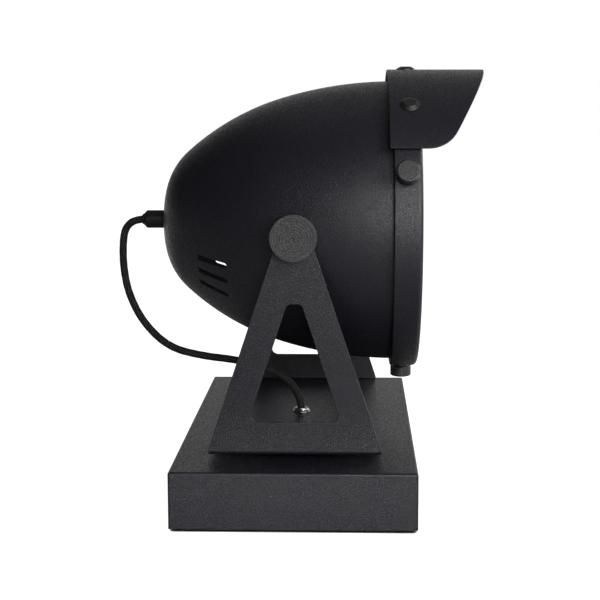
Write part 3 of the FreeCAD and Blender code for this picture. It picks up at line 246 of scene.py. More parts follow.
def pierce(mesh: Mesh, place: Matrix, radius: float, half_run: float = 0.0) -> None:
    """Cut a round-ended opening through a wall that has no thickness yet.

    Args:
        place: Its middle, with its own X axis along the opening and Z out of the wall.
        half_run: From the middle to the centre of each round end.
    """
    facets = 6          # edges in each half of a round end
    margin = 9.0        # how far outside it the middle of a face that it cuts may be
    turn = place.to_3x3()
    near = [face for face in mesh.faces
            if (face.calc_center_median() - place.translation).length < half_run + radius + margin]
    sides = []
    for end in (1, -1):
        for step in range(-facets, facets + 1):
            angle = math.radians(90 * step / facets)
            normal = Vector((end * math.cos(angle), math.sin(angle), 0))
            sides.append((place @ (Vector((end * half_run, 0, 0)) + normal * radius), turn @ normal))
    for point, normal in sides:
        around = set(near)
        for face in near:
            around.update(face.edges)
            around.update(face.verts)
        cut = bmesh.ops.bisect_plane(mesh, geom=list(around), dist=1e-5, plane_co=point, plane_no=normal)
        near = [item for item in cut["geom"] if isinstance(item, bmesh.types.BMFace)]
    inside = [face for face in near
              if all((face.calc_center_median() - point).dot(normal) < 0 for point, normal in sides)]
    bmesh.ops.delete(mesh, geom=inside, context="FACES")


def hexagon_nut(flats: float, bore: float, height: float) -> Mesh:
    """A nut with turned chamfers, built up the Z axis; flats is its width across two faces."""
    chamfer = 0.5       # height of the turned edge at the middle of a face
    slope = math.tan(math.radians(30))  # its fall
    lead = 0.3          # bevel at the ends of the hole
    side = math.tau / 6
    face = flats / 2
    flat = face * 0.97  # radius at which the turned edge starts
    outline = Outline(bore, lead).to(bore + lead, 0).to(flat, 0).to(face, chamfer)
    outline.to(face, height - chamfer).to(flat, height).to(bore + lead, height).to(bore, height - lead)
    nut = outline.spin(steps=72)
    for vert in nut.verts:
        if math.hypot(vert.co.x, vert.co.y) >= face - TOUCHING:
            reach = 1 / math.cos(math.remainder(math.atan2(vert.co.y, vert.co.x), side))
            drop = face * (reach - 1) * slope
            vert.co.x *= reach
            vert.co.y *= reach
            vert.co.z += drop if vert.co.z < height / 2 else -drop
    return nut


# ---- finishes

class Graph:
    """The nodes of a material or a world."""

    def __init__(self, owner: bpy.types.Material | bpy.types.World) -> None:
        """Start from the shader that the owner comes with."""
        owner.use_nodes = True
        self.owner, self.tree = owner, owner.node_tree
        self.output = next(node for node in self.tree.nodes if node.type.startswith("OUTPUT"))
        self.shader = self.output.inputs["Surface"].links[0].from_node

    def feed(self, socket: Socket, value: object) -> None:
        """Link a socket to another, or set its value."""
        if isinstance(value, Socket):
            self.tree.links.new(value, socket)
        else:
            socket.default_value = value

    def add(self, kind: str, inputs: dict[str | int, object] | None = None, **settings: object) -> Socket:
        """Add a node and return its first output.

        Args:
            kind: The node's type without its ShaderNode prefix.
            inputs: What goes into its sockets, by name or number.
            settings: Its other properties.
        """
        node = self.tree.nodes.new("ShaderNode" + kind)
        for name, value in settings.items():
            setattr(node, name, value)
        for key, value in (inputs or {}).items():
            self.feed(node.inputs[key], value)
        return node.outputs[0]

    def coordinates(self, place: Matrix | None) -> Socket:
        """Object coordinates, measured from a piece's own place if one is given."""
        at = self.add("TexCoord").node.outputs["Object"]
        if place is None:
            return at
        metric = place.copy()
        metric.translation = place.translation * METRES
        back = metric.inverted()
        return self.add("Mapping", {"Vector": at, "Location": back.translation, "Rotation": back.to_euler()})

    def noise(self, at: Socket, size: float, detail: float = 2.0) -> Socket:
        """Noise whose blotches are about size metres across."""
        return self.add("TexNoise", {"Vector": at, "Scale": 1 / size, "Detail": detail})

    def rings(self, at: Socket, pitch: float, wobble: float) -> Socket:
        """Turning marks round the Z axis, pitch metres apart."""
        return self.add("TexWave", {"Vector": at, "Scale": WAVE_PITCH / pitch, "Distortion": wobble},
                        wave_type="RINGS", rings_direction="Z")

    def span(self, value: Socket, low: object, high: object, first: float = 0.3,
             last: float = 0.7, smooth: bool = False) -> Socket:
        """Map a value's first to last on to low to high, which are numbers or sockets."""
        return self.add("MapRange", {"Value": value, "From Min": first, "From Max": last,
                                     "To Min": low, "To Max": high},
                        interpolation_type="SMOOTHSTEP" if smooth else "LINEAR")

    def combine(self, operation: str, first: object, second: object) -> Socket:
        """Work out one number from two, which are numbers or sockets."""
        return self.add("Math", {0: first, 1: second}, operation=operation)

    def blend(self, value: Socket, dark: Colour, light: Colour, first: float = 0.3,
              last: float = 0.7) -> Socket:
        """A colour between two, as a value goes from first to last."""
        ramp = self.add("ValToRGB", {0: value})
        for stop, position, colour in zip(ramp.node.color_ramp.elements, (first, last), (dark, light)):
            stop.position, stop.color = position, (*colour, 1)
        return ramp

    def relief(self, height: Socket, depth: float, strength: float, under: Socket | None = None) -> Socket:
        """A bumped normal; depth is in metres, under an earlier normal to add to."""
        bump = self.add("Bump", {"Height": height, "Distance": depth, "Strength": strength})
        if under is not None:
            self.feed(bump.node.inputs["Normal"], under)
        return bump

    def toned(self, colour: Socket, value: Socket) -> Socket:
        """A colour made darker or lighter by a value round 1."""
        return self.add("HueSaturation", {"Color": colour, "Value": value})

    def surface(self, **inputs: object) -> None:
        """Set the shader's sockets; an underscore in a name stands for a space."""
        for name, value in inputs.items():
            self.feed(self.shader.inputs[name.replace("_", " ")], value)


@dataclass(frozen=True)
class Finish:
    """A surface finish for one of the record's slots."""

    slot: Slot

    def material(self, place: Matrix | None = None) -> bpy.types.Material:
        """Make the material, its pattern centred on a piece's own place if one is given."""
        graph = Graph(bpy.data.materials.new(self.slot.value))
        self.paint(graph, graph.coordinates(place))
        return graph.owner

    def paint(self, graph: Graph, at: Socket) -> None:
        """Add the finish's nodes, patterned on the coordinates given."""
        raise NotImplementedError


@dataclass(frozen=True)
class PowderCoat(Finish):
    """Sand-textured powder coat: beads of coating, each with its own tone and gloss."""

    ground: Colour = (0.0014, 0.0012, 0.0026)
    bead: Colour = (0.0076, 0.007, 0.0112)
    bead_size: float = 0.0007
    bead_height: float = 0.0001
    roughness: Pair = (0.58, 0.28)
    gloss: float = 0.28
    ring_pitch: float = 0.0     # of turning marks, if there are any

    def paint(self, graph: Graph, at: Socket) -> None:
        """Beads in colour, roughness and relief, with slow drifts of tone over them."""
        beads = graph.add("TexVoronoi", {"Vector": at, "Scale": 1 / self.bead_size}).node.outputs
        sand = graph.noise(at, self.bead_size * 0.6, 1.0)
        drift = graph.noise(at, 0.03)
        tone = graph.span(drift, 0.88, 1.12)
        normal = graph.relief(drift, 0.0004, 0.2)
        normal = graph.relief(beads["Distance"], -self.bead_height, 1.0, normal)
        normal = graph.relief(sand, self.bead_height, 1.0, normal)
        if self.ring_pitch > 0:
            rings = graph.rings(at, self.ring_pitch, 0.5)
            normal = graph.relief(rings, 0.00005, 0.8, normal)
            tone = graph.span(rings, 0.9, 1.1, 0.0, 1.0)
        colour = graph.toned(graph.blend(beads["Color"], self.ground, self.bead, 0.15, 0.9), tone)
        graph.surface(Base_Color=colour, Roughness=graph.span(beads["Color"], *self.roughness, 0.2, 0.8),
                      Normal=normal, Specular_IOR_Level=self.gloss)


@dataclass(frozen=True)
class Satin(Finish):
    """A smooth black coating with the faint unevenness of a dipped or moulded surface."""

    tone: Colour = (0.014, 0.014, 0.015)
    worn: Colour = (0.024, 0.024, 0.026)
    speck: float = 0.0005
    roughness: Pair = (0.3, 0.42)
    relief: float = 0.00002
    gloss: float = 0.5

    def paint(self, graph: Graph, at: Socket) -> None:
        """Fine specks, and broader patches of lighter colour."""
        speck = graph.noise(at, self.speck, 3.0)
        patch = graph.noise(at, 0.008, 3.0)
        graph.surface(Base_Color=graph.blend(patch, self.tone, self.worn),
                      Roughness=graph.span(patch, *self.roughness),
                      Normal=graph.relief(speck, self.relief, 0.7), Specular_IOR_Level=self.gloss)


@dataclass(frozen=True)
class Metal(Finish):
    """Plated or bare metal, with turning marks round its own axis."""

    dull: Colour = (0.5, 0.49, 0.47)
    bright: Colour = (0.78, 0.77, 0.75)
    roughness: Pair = (0.16, 0.32)
    mark_pitch: float = 0.0003

    def paint(self, graph: Graph, at: Socket) -> None:
        """Patches of tarnish, and rings left by the tool."""
        patch = graph.noise(at, 0.006, 4.0)
        rings = graph.rings(at, self.mark_pitch, 0.6)
        graph.surface(Base_Color=graph.blend(patch, self.dull, self.bright), Metallic=1.0,
                      Roughness=graph.span(patch, *self.roughness),
                      Normal=graph.relief(rings, 0.00001, 0.35))


@dataclass(frozen=True)
class Fibre(Finish):
    """Pressed vulcanised fibre."""

    dark: Colour = (0.05, 0.022, 0.014)
    light: Colour = (0.13, 0.06, 0.035)

    def paint(self, graph: Graph, at: Socket) -> None:
        """Short fibres in colour and relief."""
        fibres = graph.noise(at, 0.0006, 6.0)
        graph.surface(Base_Color=graph.blend(fibres, self.dark, self.light), Roughness=0.75,
                      Normal=graph.relief(fibres, 0.00005, 0.6))


@dataclass(frozen=True)
class Glaze(Finish):
    """Fired ceramic under a clear glaze."""

    body: Colour = (0.66, 0.64, 0.58)
    pale: Colour = (0.82, 0.81, 0.77)

    def paint(self, graph: Graph, at: Socket) -> None:
        """A faintly wavy glaze over speckled clay."""
        clay = graph.noise(at, 0.0012, 4.0)
        graph.surface(Base_Color=graph.blend(clay, self.body, self.pale), Roughness=0.38,
                      Coat_Weight=0.6, Coat_Roughness=0.08, Normal=graph.relief(clay, 0.00003, 0.3))


@dataclass(frozen=True)
class OpalGlass(Finish):
    """White glass that lets some light through."""

    milk: Colour = (0.84, 0.83, 0.79)
    edge: Colour = (0.92, 0.915, 0.89)

    def paint(self, graph: Graph, at: Socket) -> None:
        """Clouded colour under a smooth skin."""
        cloud = graph.noise(at, 0.02)
        graph.surface(Base_Color=graph.blend(cloud, self.milk, self.edge), Transmission_Weight=0.12,
                      Roughness=graph.span(cloud, 0.12, 0.2), Coat_Weight=0.3, Coat_Roughness=0.05,
                      Normal=graph.relief(cloud, 0.0002, 0.2))


@dataclass(frozen=True)
class Braid(Finish):
    """Textile braid; the piece's own rise attribute says how high its strands lie."""

    # the gaps' colour is painted shade between the strands
    painted_gap_shade: Colour = (0.0003, 0.0003, 0.0004)
    crown: Colour = (0.024, 0.024, 0.0246)

    def paint(self, graph: Graph, at: Socket) -> None:
        """Glossy crowns over gaps darkened with painted shade, fuzzed by single threads."""
        rise = graph.add("Attribute", attribute_name="rise").node.outputs["Fac"]
        threads = graph.noise(at, 0.00025, 3.0)
        worn = graph.span(graph.noise(at, 0.004), 0.7, 1.3)
        # rise blends from the painted shade in the gaps to the crowns' own colour
        colour = graph.toned(graph.blend(rise, self.painted_gap_shade, self.crown, 0.5, 1.0), worn)
        graph.surface(Base_Color=colour, Roughness=graph.span(threads, 0.5, 0.75),
                      Normal=graph.relief(threads, 0.00006, 0.8), Sheen_Weight=0.01, Sheen_Roughness=0.4,
                      Specular_IOR_Level=0.06)


class Palette:
    """The lamp's finishes by slot."""

    def __init__(self) -> None:
        """Mix every finish."""
        finishes = (
            PowderCoat(Slot.POWDER),
            PowderCoat(Slot.KNOB, ground=(0.003, 0.003, 0.0034), bead=(0.02, 0.02, 0.022),
                       gloss=0.3, ring_pitch=0.002),
            Satin(Slot.SCREW, tone=(0.002, 0.002, 0.0025), worn=(0.004, 0.004, 0.0045), gloss=0.4),
            Satin(Slot.TURNED),
            Metal(Slot.NICKEL, dull=(0.2, 0.195, 0.19), bright=(0.42, 0.41, 0.4), roughness=(0.24, 0.4)),
            Metal(Slot.ZINC, dull=(0.42, 0.42, 0.41), bright=(0.62, 0.62, 0.6), roughness=(0.3, 0.45)),
            Metal(Slot.BRASS, dull=(0.5, 0.36, 0.16), bright=(0.75, 0.58, 0.3), roughness=(0.22, 0.4)),
            Metal(Slot.ALUMINIUM, dull=(0.62, 0.62, 0.62), bright=(0.8, 0.8, 0.8), roughness=(0.25, 0.4)),
            Satin(Slot.RUBBER, tone=(0.012, 0.012, 0.012), worn=(0.02, 0.02, 0.02), speck=0.0008,
                  roughness=(0.7, 0.85), relief=0.00005, gloss=0.3),
            Satin(Slot.PLASTIC_BLACK, tone=(0.005, 0.005, 0.0055), worn=(0.009, 0.009, 0.01),
                  roughness=(0.42, 0.55), relief=0.00003, gloss=0.12),
            Satin(Slot.PLASTIC_WHITE, tone=(0.6, 0.6, 0.57), worn=(0.7, 0.7, 0.68), roughness=(0.4, 0.5)),
            Glaze(Slot.CERAMIC),
            Fibre(Slot.FIBRE),
            OpalGlass(Slot.OPAL),
            Braid(Slot.TEXTILE),
        )
        self.finishes = {finish.slot: finish for finish in finishes}

    def dress(self, nodes: dict[str, bpy.types.Object]) -> None:
        """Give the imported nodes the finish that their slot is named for."""
        materials = {slot.value: finish.material() for slot, finish in self.finishes.items()}
        for node in nodes.values():
            for slot in node.material_slots:
                slot.material = materials[slot.material.name.split(".")[0]]
        log.info("dressed %d packed nodes", len(nodes))


@dataclass
class SubAssembly:
    """A group of pieces; it turns meshes into pieces and dresses them."""

    palette: Palette

    def dressed(self, name: str, mesh: Mesh, slot: Slot, node: str,
                place: Matrix | None = None, smoothed: float = 180.0) -> bpy.types.Object:
        """Turn a mesh into a piece with its finish.

        Args:
            mesh: The mesh in millimetres, which is used up.
            node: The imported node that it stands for.
            place: Where it is put, and what its finish's pattern is then centred on.
            smoothed: Edges that turn less than this many degrees are smoothed over.
        """
        if place is not None:
            moved(mesh, place)
        bmesh.ops.scale(mesh, vec=(METRES,) * 3, verts=mesh.verts[:])
        limit = math.radians(smoothed)
        for face in mesh.faces:
            face.smooth = True
        for edge in mesh.edges:
            edge.smooth = edge.calc_face_angle(0.0) < limit
        piece = finished(name, mesh)
        piece.data.materials.append(self.palette.finishes[slot].material(place))
        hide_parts(node)
        log.info("%s: %d faces", name, len(piece.data.polygons))
        return piece

    def add(self, name: str, mesh: Mesh, slot: Slot, body: Body, node: str,
            place: Matrix | None = None) -> None:
        """Make a hard piece that rides on one body; dressed says what the rest means."""
        piece = self.dressed(name, mesh, slot, node, place, smoothed=35.0)
        evening = piece.modifiers.new("even_normals", "WEIGHTED_NORMAL")
        evening.mode, evening.keep_sharp = "FACE_AREA", True
        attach(piece, body.value)

    def build(self) -> None:
        """Make every piece."""
        raise NotImplementedError


# ---- the lamp

@dataclass
class Cord(SubAssembly):
    """Braided textile cord from the gland, down behind the head and into the pan nipple."""

    diameter: float = 6.0
    length: float = 266.7
    strands: int = 10
    lay: float = 95.0           # length of one turn of a strand
    stitches: int = 14          # finer strands that bind them, the other way round
    stitch_lay: float = 30.0
    stitch_share: float = 0.22
    relief: float = 0.34
    level: float = 0.7          # how high the braid lies where the cord has its plain diameter
    rings: int = 1000
    sides: int = 80
    route: tuple[Pair, ...] = (
        (-126.0, 211.0), (-136.0, 211.0), (-144.5, 204.5), (-147.0, 192.0), (-147.0, 171.0),
        (-143.0, 148.5), (-131.0, 124.0), (-110.0, 103.5), (-82.0, 96.5), (-54.0, 93.5),
        (-26.0, 86.5), (-8.0, 74.5), (0.0, 58.5), (0.0, 48.5),
    )

    def line(self) -> list[Vector]:
        """Points along the cord's own spline, in millimetres."""
        curve = bpy.data.curves.new("cord_line", "CURVE")
        curve.dimensions = "3D"
        curve.resolution_u = 24
        spline = curve.splines.new("NURBS")
        spline.points.add(len(self.route) - 1)
        for point, (x, z) in zip(spline.points, self.route):
            point.co = (x * METRES, 0, z * METRES, 1)
        spline.order_u = 3
        spline.use_endpoint_u = True
        holder = shown("cord_line", curve)
        data = bpy.data.meshes.new_from_object(holder)
        points = [vert.co / METRES for vert in data.vertices]
        bpy.data.objects.remove(holder)
        bpy.data.meshes.remove(data)
        bpy.data.curves.remove(curve)
        return points

    def weave(self, along: float, turn: float) -> float:
        """How high the braid lies, from 0 in a gap to 1 on a crown; turn is a share of a full one."""
        strand = abs(math.sin(math.pi * (turn + along / self.lay) * self.strands))
        stitch = abs(math.sin(math.pi * (turn - along / self.stitch_lay) * self.stitches))
        return (1 - self.stitch_share) * strand ** 0.8 + self.stitch_share * stitch

    def tube(self, line: list[Vector]) -> Mesh:
        """Wrap a fine grid round a line in the plane that halves the lamp, and raise the braid."""
        runs = [0.0]
        for before, after in zip(line, line[1:]):
            runs.append(runs[-1] + (after - before).length)
        mesh = bmesh.new()
        rise = mesh.verts.layers.float.new("rise")
        bmesh.ops.create_grid(mesh, x_segments=self.rings, y_segments=self.sides, size=0.5)
        across = Vector((0, 1, 0))
        index = 0
        for vert in sorted(mesh.verts, key=lambda item: item.co.x):
            along = (vert.co.x + 0.5) * runs[-1]
            turn = vert.co.y + 0.5
            while index < len(runs) - 2 and runs[index + 1] < along:
                index += 1
            share = (along - runs[index]) / (runs[index + 1] - runs[index])
            ahead = line[index + 1] - line[index]
            before = line[index] - line[index - 1] if index else ahead
            heading = before.normalized().lerp(ahead.normalized(), 0.5 + share / 2)
            out = heading.normalized().cross(across)
            vert[rise] = self.weave(along, turn)
            radius = self.diameter / 2 + self.relief * (vert[rise] - self.level)
            spoke = out * math.cos(math.tau * turn) + across * math.sin(math.tau * turn)
            vert.co = line[index].lerp(line[index + 1], share) + spoke * radius
        bmesh.ops.remove_doubles(mesh, verts=mesh.verts[:], dist=TOUCHING)
        bmesh.ops.holes_fill(mesh, edges=[edge for edge in mesh.edges if edge.is_boundary], sides=0)
        bmesh.ops.recalc_face_normals(mesh, faces=mesh.faces[:])
        return mesh

    def build(self) -> None:
        line = self.line()
        cord = self.dressed("braided_cord", self.tube(line), Slot.TEXTILE, "head_cord")
        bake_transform(cord)


@dataclass
class PanPivot(SubAssembly):
    """Plated nut and washer on the threaded nipple that the cord goes into."""

    plate_top: float = 50.5
    bore: float = 3.4
    nipple: float = 5.0
    nipple_low: float = -14.6   # from the plate's top
    washer: float = 7.3
    washer_sheet: float = 0.7
    flats: float = 11.8
    nut_height: float = 1.8
    proud: float = 0.6
    thread_pitch: float = 1.0
    thread_depth: float = 0.3

    def threaded_nipple(self) -> Mesh:
        """Hollow nipple whose outside is cut with a thread."""
        top = self.washer_sheet + self.nut_height + self.proud
        root, half = self.nipple - self.thread_depth, self.thread_pitch / 2
        outline = Outline(self.bore, self.nipple_low).to(root, self.nipple_low)
        z = self.nipple_low + half
        while z < top - half:
            outline.to(self.nipple, z).to(root, z + half)
            z += self.thread_pitch
        return outline.to(root, top).to(self.bore, top, 0.3).spin(steps=48)

    def build(self) -> None:
        """Make the nipple, washer and nut."""
        outer, sheet = self.washer, self.washer_sheet
        washer = Outline(NIPPLE_HOLE, 0).to(outer, 0, 0.2).to(outer, sheet, 0.35).to(NIPPLE_HOLE, sheet, 0.15)
        nut = hexagon_nut(self.flats, self.nipple, self.nut_height)
        for name, mesh, node in (("threaded_nipple", self.threaded_nipple(), "pan_nipple"),
                                 ("plated_washer", washer.spin(steps=72), "pan_washer"),
                                 ("plated_nut", moved(nut, put(0, 0, sheet)), "pan_top_nut")):
            self.add(name, mesh, Slot.NICKEL, Body.BASE, node, put(0, 0, self.plate_top))


@dataclass
class FoldedBase(SubAssembly):
    """Folded sheet box that the lamp stands on."""

    length: float = 180.0
    width: float = 280.0
    low: float = 2.0
    top: float = 44.0
    sheet: float = 1.5
    fold: float = 1.8
    entry: Triple = (-55.0, 140.0, 23.0)
    entry_radius: float = 6.0
    eased: float = 0.25

    def box(self) -> Mesh:
        """Fold the box and give it its wall and its eased lower rim."""
        mesh = bmesh.new()
        height = self.top - self.low
        size = put(0, 0, self.low + height / 2) @ Matrix.Diagonal((self.length, self.width, height, 1))
        bmesh.ops.create_cube(mesh, size=1.0, matrix=size)
        under = [face for face in mesh.faces if face.normal.z < -0.5]
        bmesh.ops.delete(mesh, geom=under, context="FACES_ONLY")
        folds = [edge for edge in mesh.edges if not edge.is_boundary]
        bevel(mesh, folds, self.fold, segments=5)
        pierce(mesh, put(*self.entry, -90), self.entry_radius)
        face_away(mesh, Vector((0, 0, self.low)))
        thicken(mesh, self.sheet)
        ease_edges(mesh, self.eased, over=70.0)
        return mesh

    def build(self) -> None:
        """Make the folded box."""
        self.add("folded_base", self.box(), Slot.POWDER, Body.BASE, "base_box")


@dataclass
class Yoke(SubAssembly):
    """One folded sheet: a plate on the pan axis and two A-shaped cheeks."""

    sheet: float = 2.5
    fold: float = 3.5
    foot_z: float = 48.0
    half_foot: float = 64.0
    shoulder_z: float = 52.0
    top_radius: float = 11.0
    leg: float = 21.6
    window_low: float = 72.8
    window_drop: float = 50.0   # from the tilt axis down to the window
    window_foot_radius: float = 6.0
    window_top_radius: float = 4.0
    eased: float = 0.45

    def lean(self) -> float:
        """Angle of the legs from upright, so that they run on to the rounded top."""
        rise = TILT_Z - self.shoulder_z
        reach = math.hypot(rise, self.half_foot)
        return math.atan2(self.half_foot, rise) - math.asin(self.top_radius / reach)

    def window_half(self, z: float) -> float:
        """Half the window's width at a height."""
        outer = self.half_foot - (z - self.shoulder_z) * math.tan(self.lean())
        return outer - self.leg / math.cos(self.lean())

    def half_cheek(self) -> Mesh:
        """The left cheek's outer face, forward of the lamp's middle."""
        lean = self.lean()
        fold_z = self.foot_z + self.fold
        outline = Outline(0, fold_z).to(self.half_foot, fold_z).to(self.half_foot, self.shoulder_z)
        outline.to(self.top_radius * math.cos(lean), TILT_Z + self.top_radius * math.sin(lean))
        outline.around(0, TILT_Z, math.degrees(lean) - 90, 12)
        outline.to(0, TILT_Z + STUD_HOLE).around(0, TILT_Z, 180, 16)
        high, low = TILT_Z - self.window_drop, self.window_low
        outline.to(0, high).to(self.window_half(high), high, self.window_top_radius)
        outline.to(self.window_half(low), low, self.window_foot_radius).to(0, low)
        mesh = outline.fill(segments=8)
        bmesh.ops.translate(mesh, vec=(0, CHEEK_Y, 0), verts=mesh.verts[:])
        return mesh

    def folded(self) -> Mesh:
        """Fold the cheek's foot into the plate and mirror it to the whole sheet."""
        mesh, fold_z = self.half_cheek(), self.foot_z + self.fold
        foot = [edge for edge in mesh.edges if all(abs(vert.co.z - fold_z) < TOUCHING for vert in edge.verts)]
        geom = foot + list({vert for edge in foot for vert in edge.verts})
        folded = bmesh.ops.spin(mesh, geom=geom, cent=(0, CHEEK_Y - self.fold, fold_z), axis=(1, 0, 0),
                                angle=math.radians(-90), steps=7)
        last = [item for item in folded["geom_last"] if isinstance(item, bmesh.types.BMVert)]
        last.sort(key=lambda vert: vert.co.x)
        corner = mesh.verts.new((self.half_foot, 0, self.foot_z))
        rim = mesh.verts.new((NIPPLE_HOLE, 0, self.foot_z))
        known = set(mesh.verts)
        bmesh.ops.spin(mesh, geom=[rim], cent=(0, 0, self.foot_z), axis=(0, 0, 1),
                       angle=math.radians(90), steps=10)
        arc = sorted((vert for vert in mesh.verts if vert not in known), key=lambda vert: vert.co.y)
        mesh.faces.new([last[0], last[-1], corner, rim, *arc])
        for axis in "XY":
            bmesh.ops.mirror(mesh, geom=mesh.verts[:] + mesh.edges[:] + mesh.faces[:], axis=axis,
                             merge_dist=TOUCHING)
        bmesh.ops.remove_doubles(mesh, verts=mesh.verts[:], dist=TOUCHING)
        face_away(mesh, Vector((0, 0, TILT_Z)))
        thicken(mesh, self.sheet)
        ease_edges(mesh, self.eased)
        return mesh

    def build(self) -> None:
        """Make the folded sheet."""
        self.add("folded_yoke", self.folded(), Slot.POWDER, Body.YOKE, "yoke")


@dataclass
class Head(SubAssembly):
    """Spun bullet-shaped shell with three slots a side."""

    wall: float = 1.2
    arcs: tuple[tuple[float, float, float, int], ...] = (     # centre, turn and edges of each
        (15.0, 55.0, -48.0, 12), (-95.2, 154.2244, -25.2675, 14), (-197.2367, 184.9, -16.7325, 12))
    neck_end: float = 92.0
    neck_radius: float = 112.6
    boss_hole: float = 8.0
    boss_out: float = 103.39
    vent_clocks: tuple[float, ...] = (109.0, 118.5, 128.5)
    vent_centre: float = -65.5
    vent_out: float = 75.87
    vent_slope: float = 32.7
    vent_width: float = 4.6
    vent_length: float = 29.5

    def shell(self) -> Mesh:
        """Spin the wall, cut its openings and give it its thickness."""
        outline = Outline(NIPPLE_HOLE, 0).to(self.arcs[0][0], 0)
        for arc in self.arcs:
            outline.around(*arc)
        outline.to(self.neck_radius, self.neck_end - REAR_X)
        mesh = moved(outline.spin(steps=192, closed=False), on_beam(REAR_X))
        face_away(mesh, Vector((0, 0, TILT_Z)))
        half_run = (self.vent_length - self.vent_width) / 2
        slope = put(0, 0, self.vent_out, -self.vent_slope, "Y")
        for clock in self.vent_clocks:
            for side in (1, -1):
                place = out_of_beam(self.vent_centre, side * clock) @ slope
                pierce(mesh, place, self.vent_width / 2, half_run)
        for side in (1, -1):
            pierce(mesh, on_tilt_axis(side, self.boss_out), self.boss_hole)
        thicken(mesh, self.wall)
        return mesh

    def build(self) -> None:
        """Make the shell."""
        self.add("spun_head", self.shell(), Slot.POWDER, Body.HEAD, "head_shell")


@dataclass
class FrontRing(SubAssembly):
    """Channel-section ring round the head's mouth, with its three thumbscrews."""

    back: float = 72.4
    length: float = 21.1
    radius: float = 118.0
    sheet: float = 1.5
    bead: float = 3.5
    lip_radius: float = 105.0
    collar: float = 113.0
    screw_x: float = 82.3
    screw_clocks: tuple[tuple[Body, float], ...] = (
        (Body.THUMB_BOTTOM, 180.0), (Body.THUMB_LEFT, 68.0), (Body.THUMB_RIGHT, -68.0))
    screw_head: float = 8.5
    screw_neck: float = 5.6
    screw_stud: float = 2.5
    stud_end: float = 106.0
    seat: float = 118.3
    neck_height: float = 3.0
    head_height: float = 8.3

    def ring(self) -> Mesh:
        """Turn the ring's channel section."""
        outer, inner = self.radius, self.radius - self.sheet
        front, behind = self.length, self.length - self.sheet
        outline = Outline(self.collar, 0).to(outer, 0, 0.9).to(outer, front, self.bead)
        outline.to(self.lip_radius, front, 0.6).to(self.lip_radius, behind, 0.4)
        outline.to(inner, behind, self.bead - self.sheet).to(inner, self.sheet).to(self.collar, self.sheet)
        return moved(outline.spin(steps=192, segments=6), on_beam(self.back))

    def thumbscrew(self) -> Mesh:
        """Turn a thumbscrew: stud, neck and round head with a soft rim."""
        start = self.seat + self.neck_height
        end = start + self.head_height
        outline = Outline(0, self.stud_end).to(self.screw_stud, self.stud_end, 0.5)
        outline.to(self.screw_stud, self.seat).to(self.screw_neck, self.seat, 0.4)
        outline.to(self.screw_neck, start, 0.3).to(self.screw_head, start, 0.7)
        outline.to(self.screw_head, end, 1.1).to(0, end)
        return outline.spin(steps=64, segments=5)

    def build(self) -> None:
        """Make the ring and its screws."""
        self.add("bezel_ring", self.ring(), Slot.POWDER, Body.HEAD, "front_ring")
        for body, clock in self.screw_clocks:
            node = body.value.replace("thumb", "thumbscrew")
            self.add(f"turned_{node}", self.thumbscrew(), Slot.KNOB, body, node,
                     out_of_beam(self.screw_x, clock))


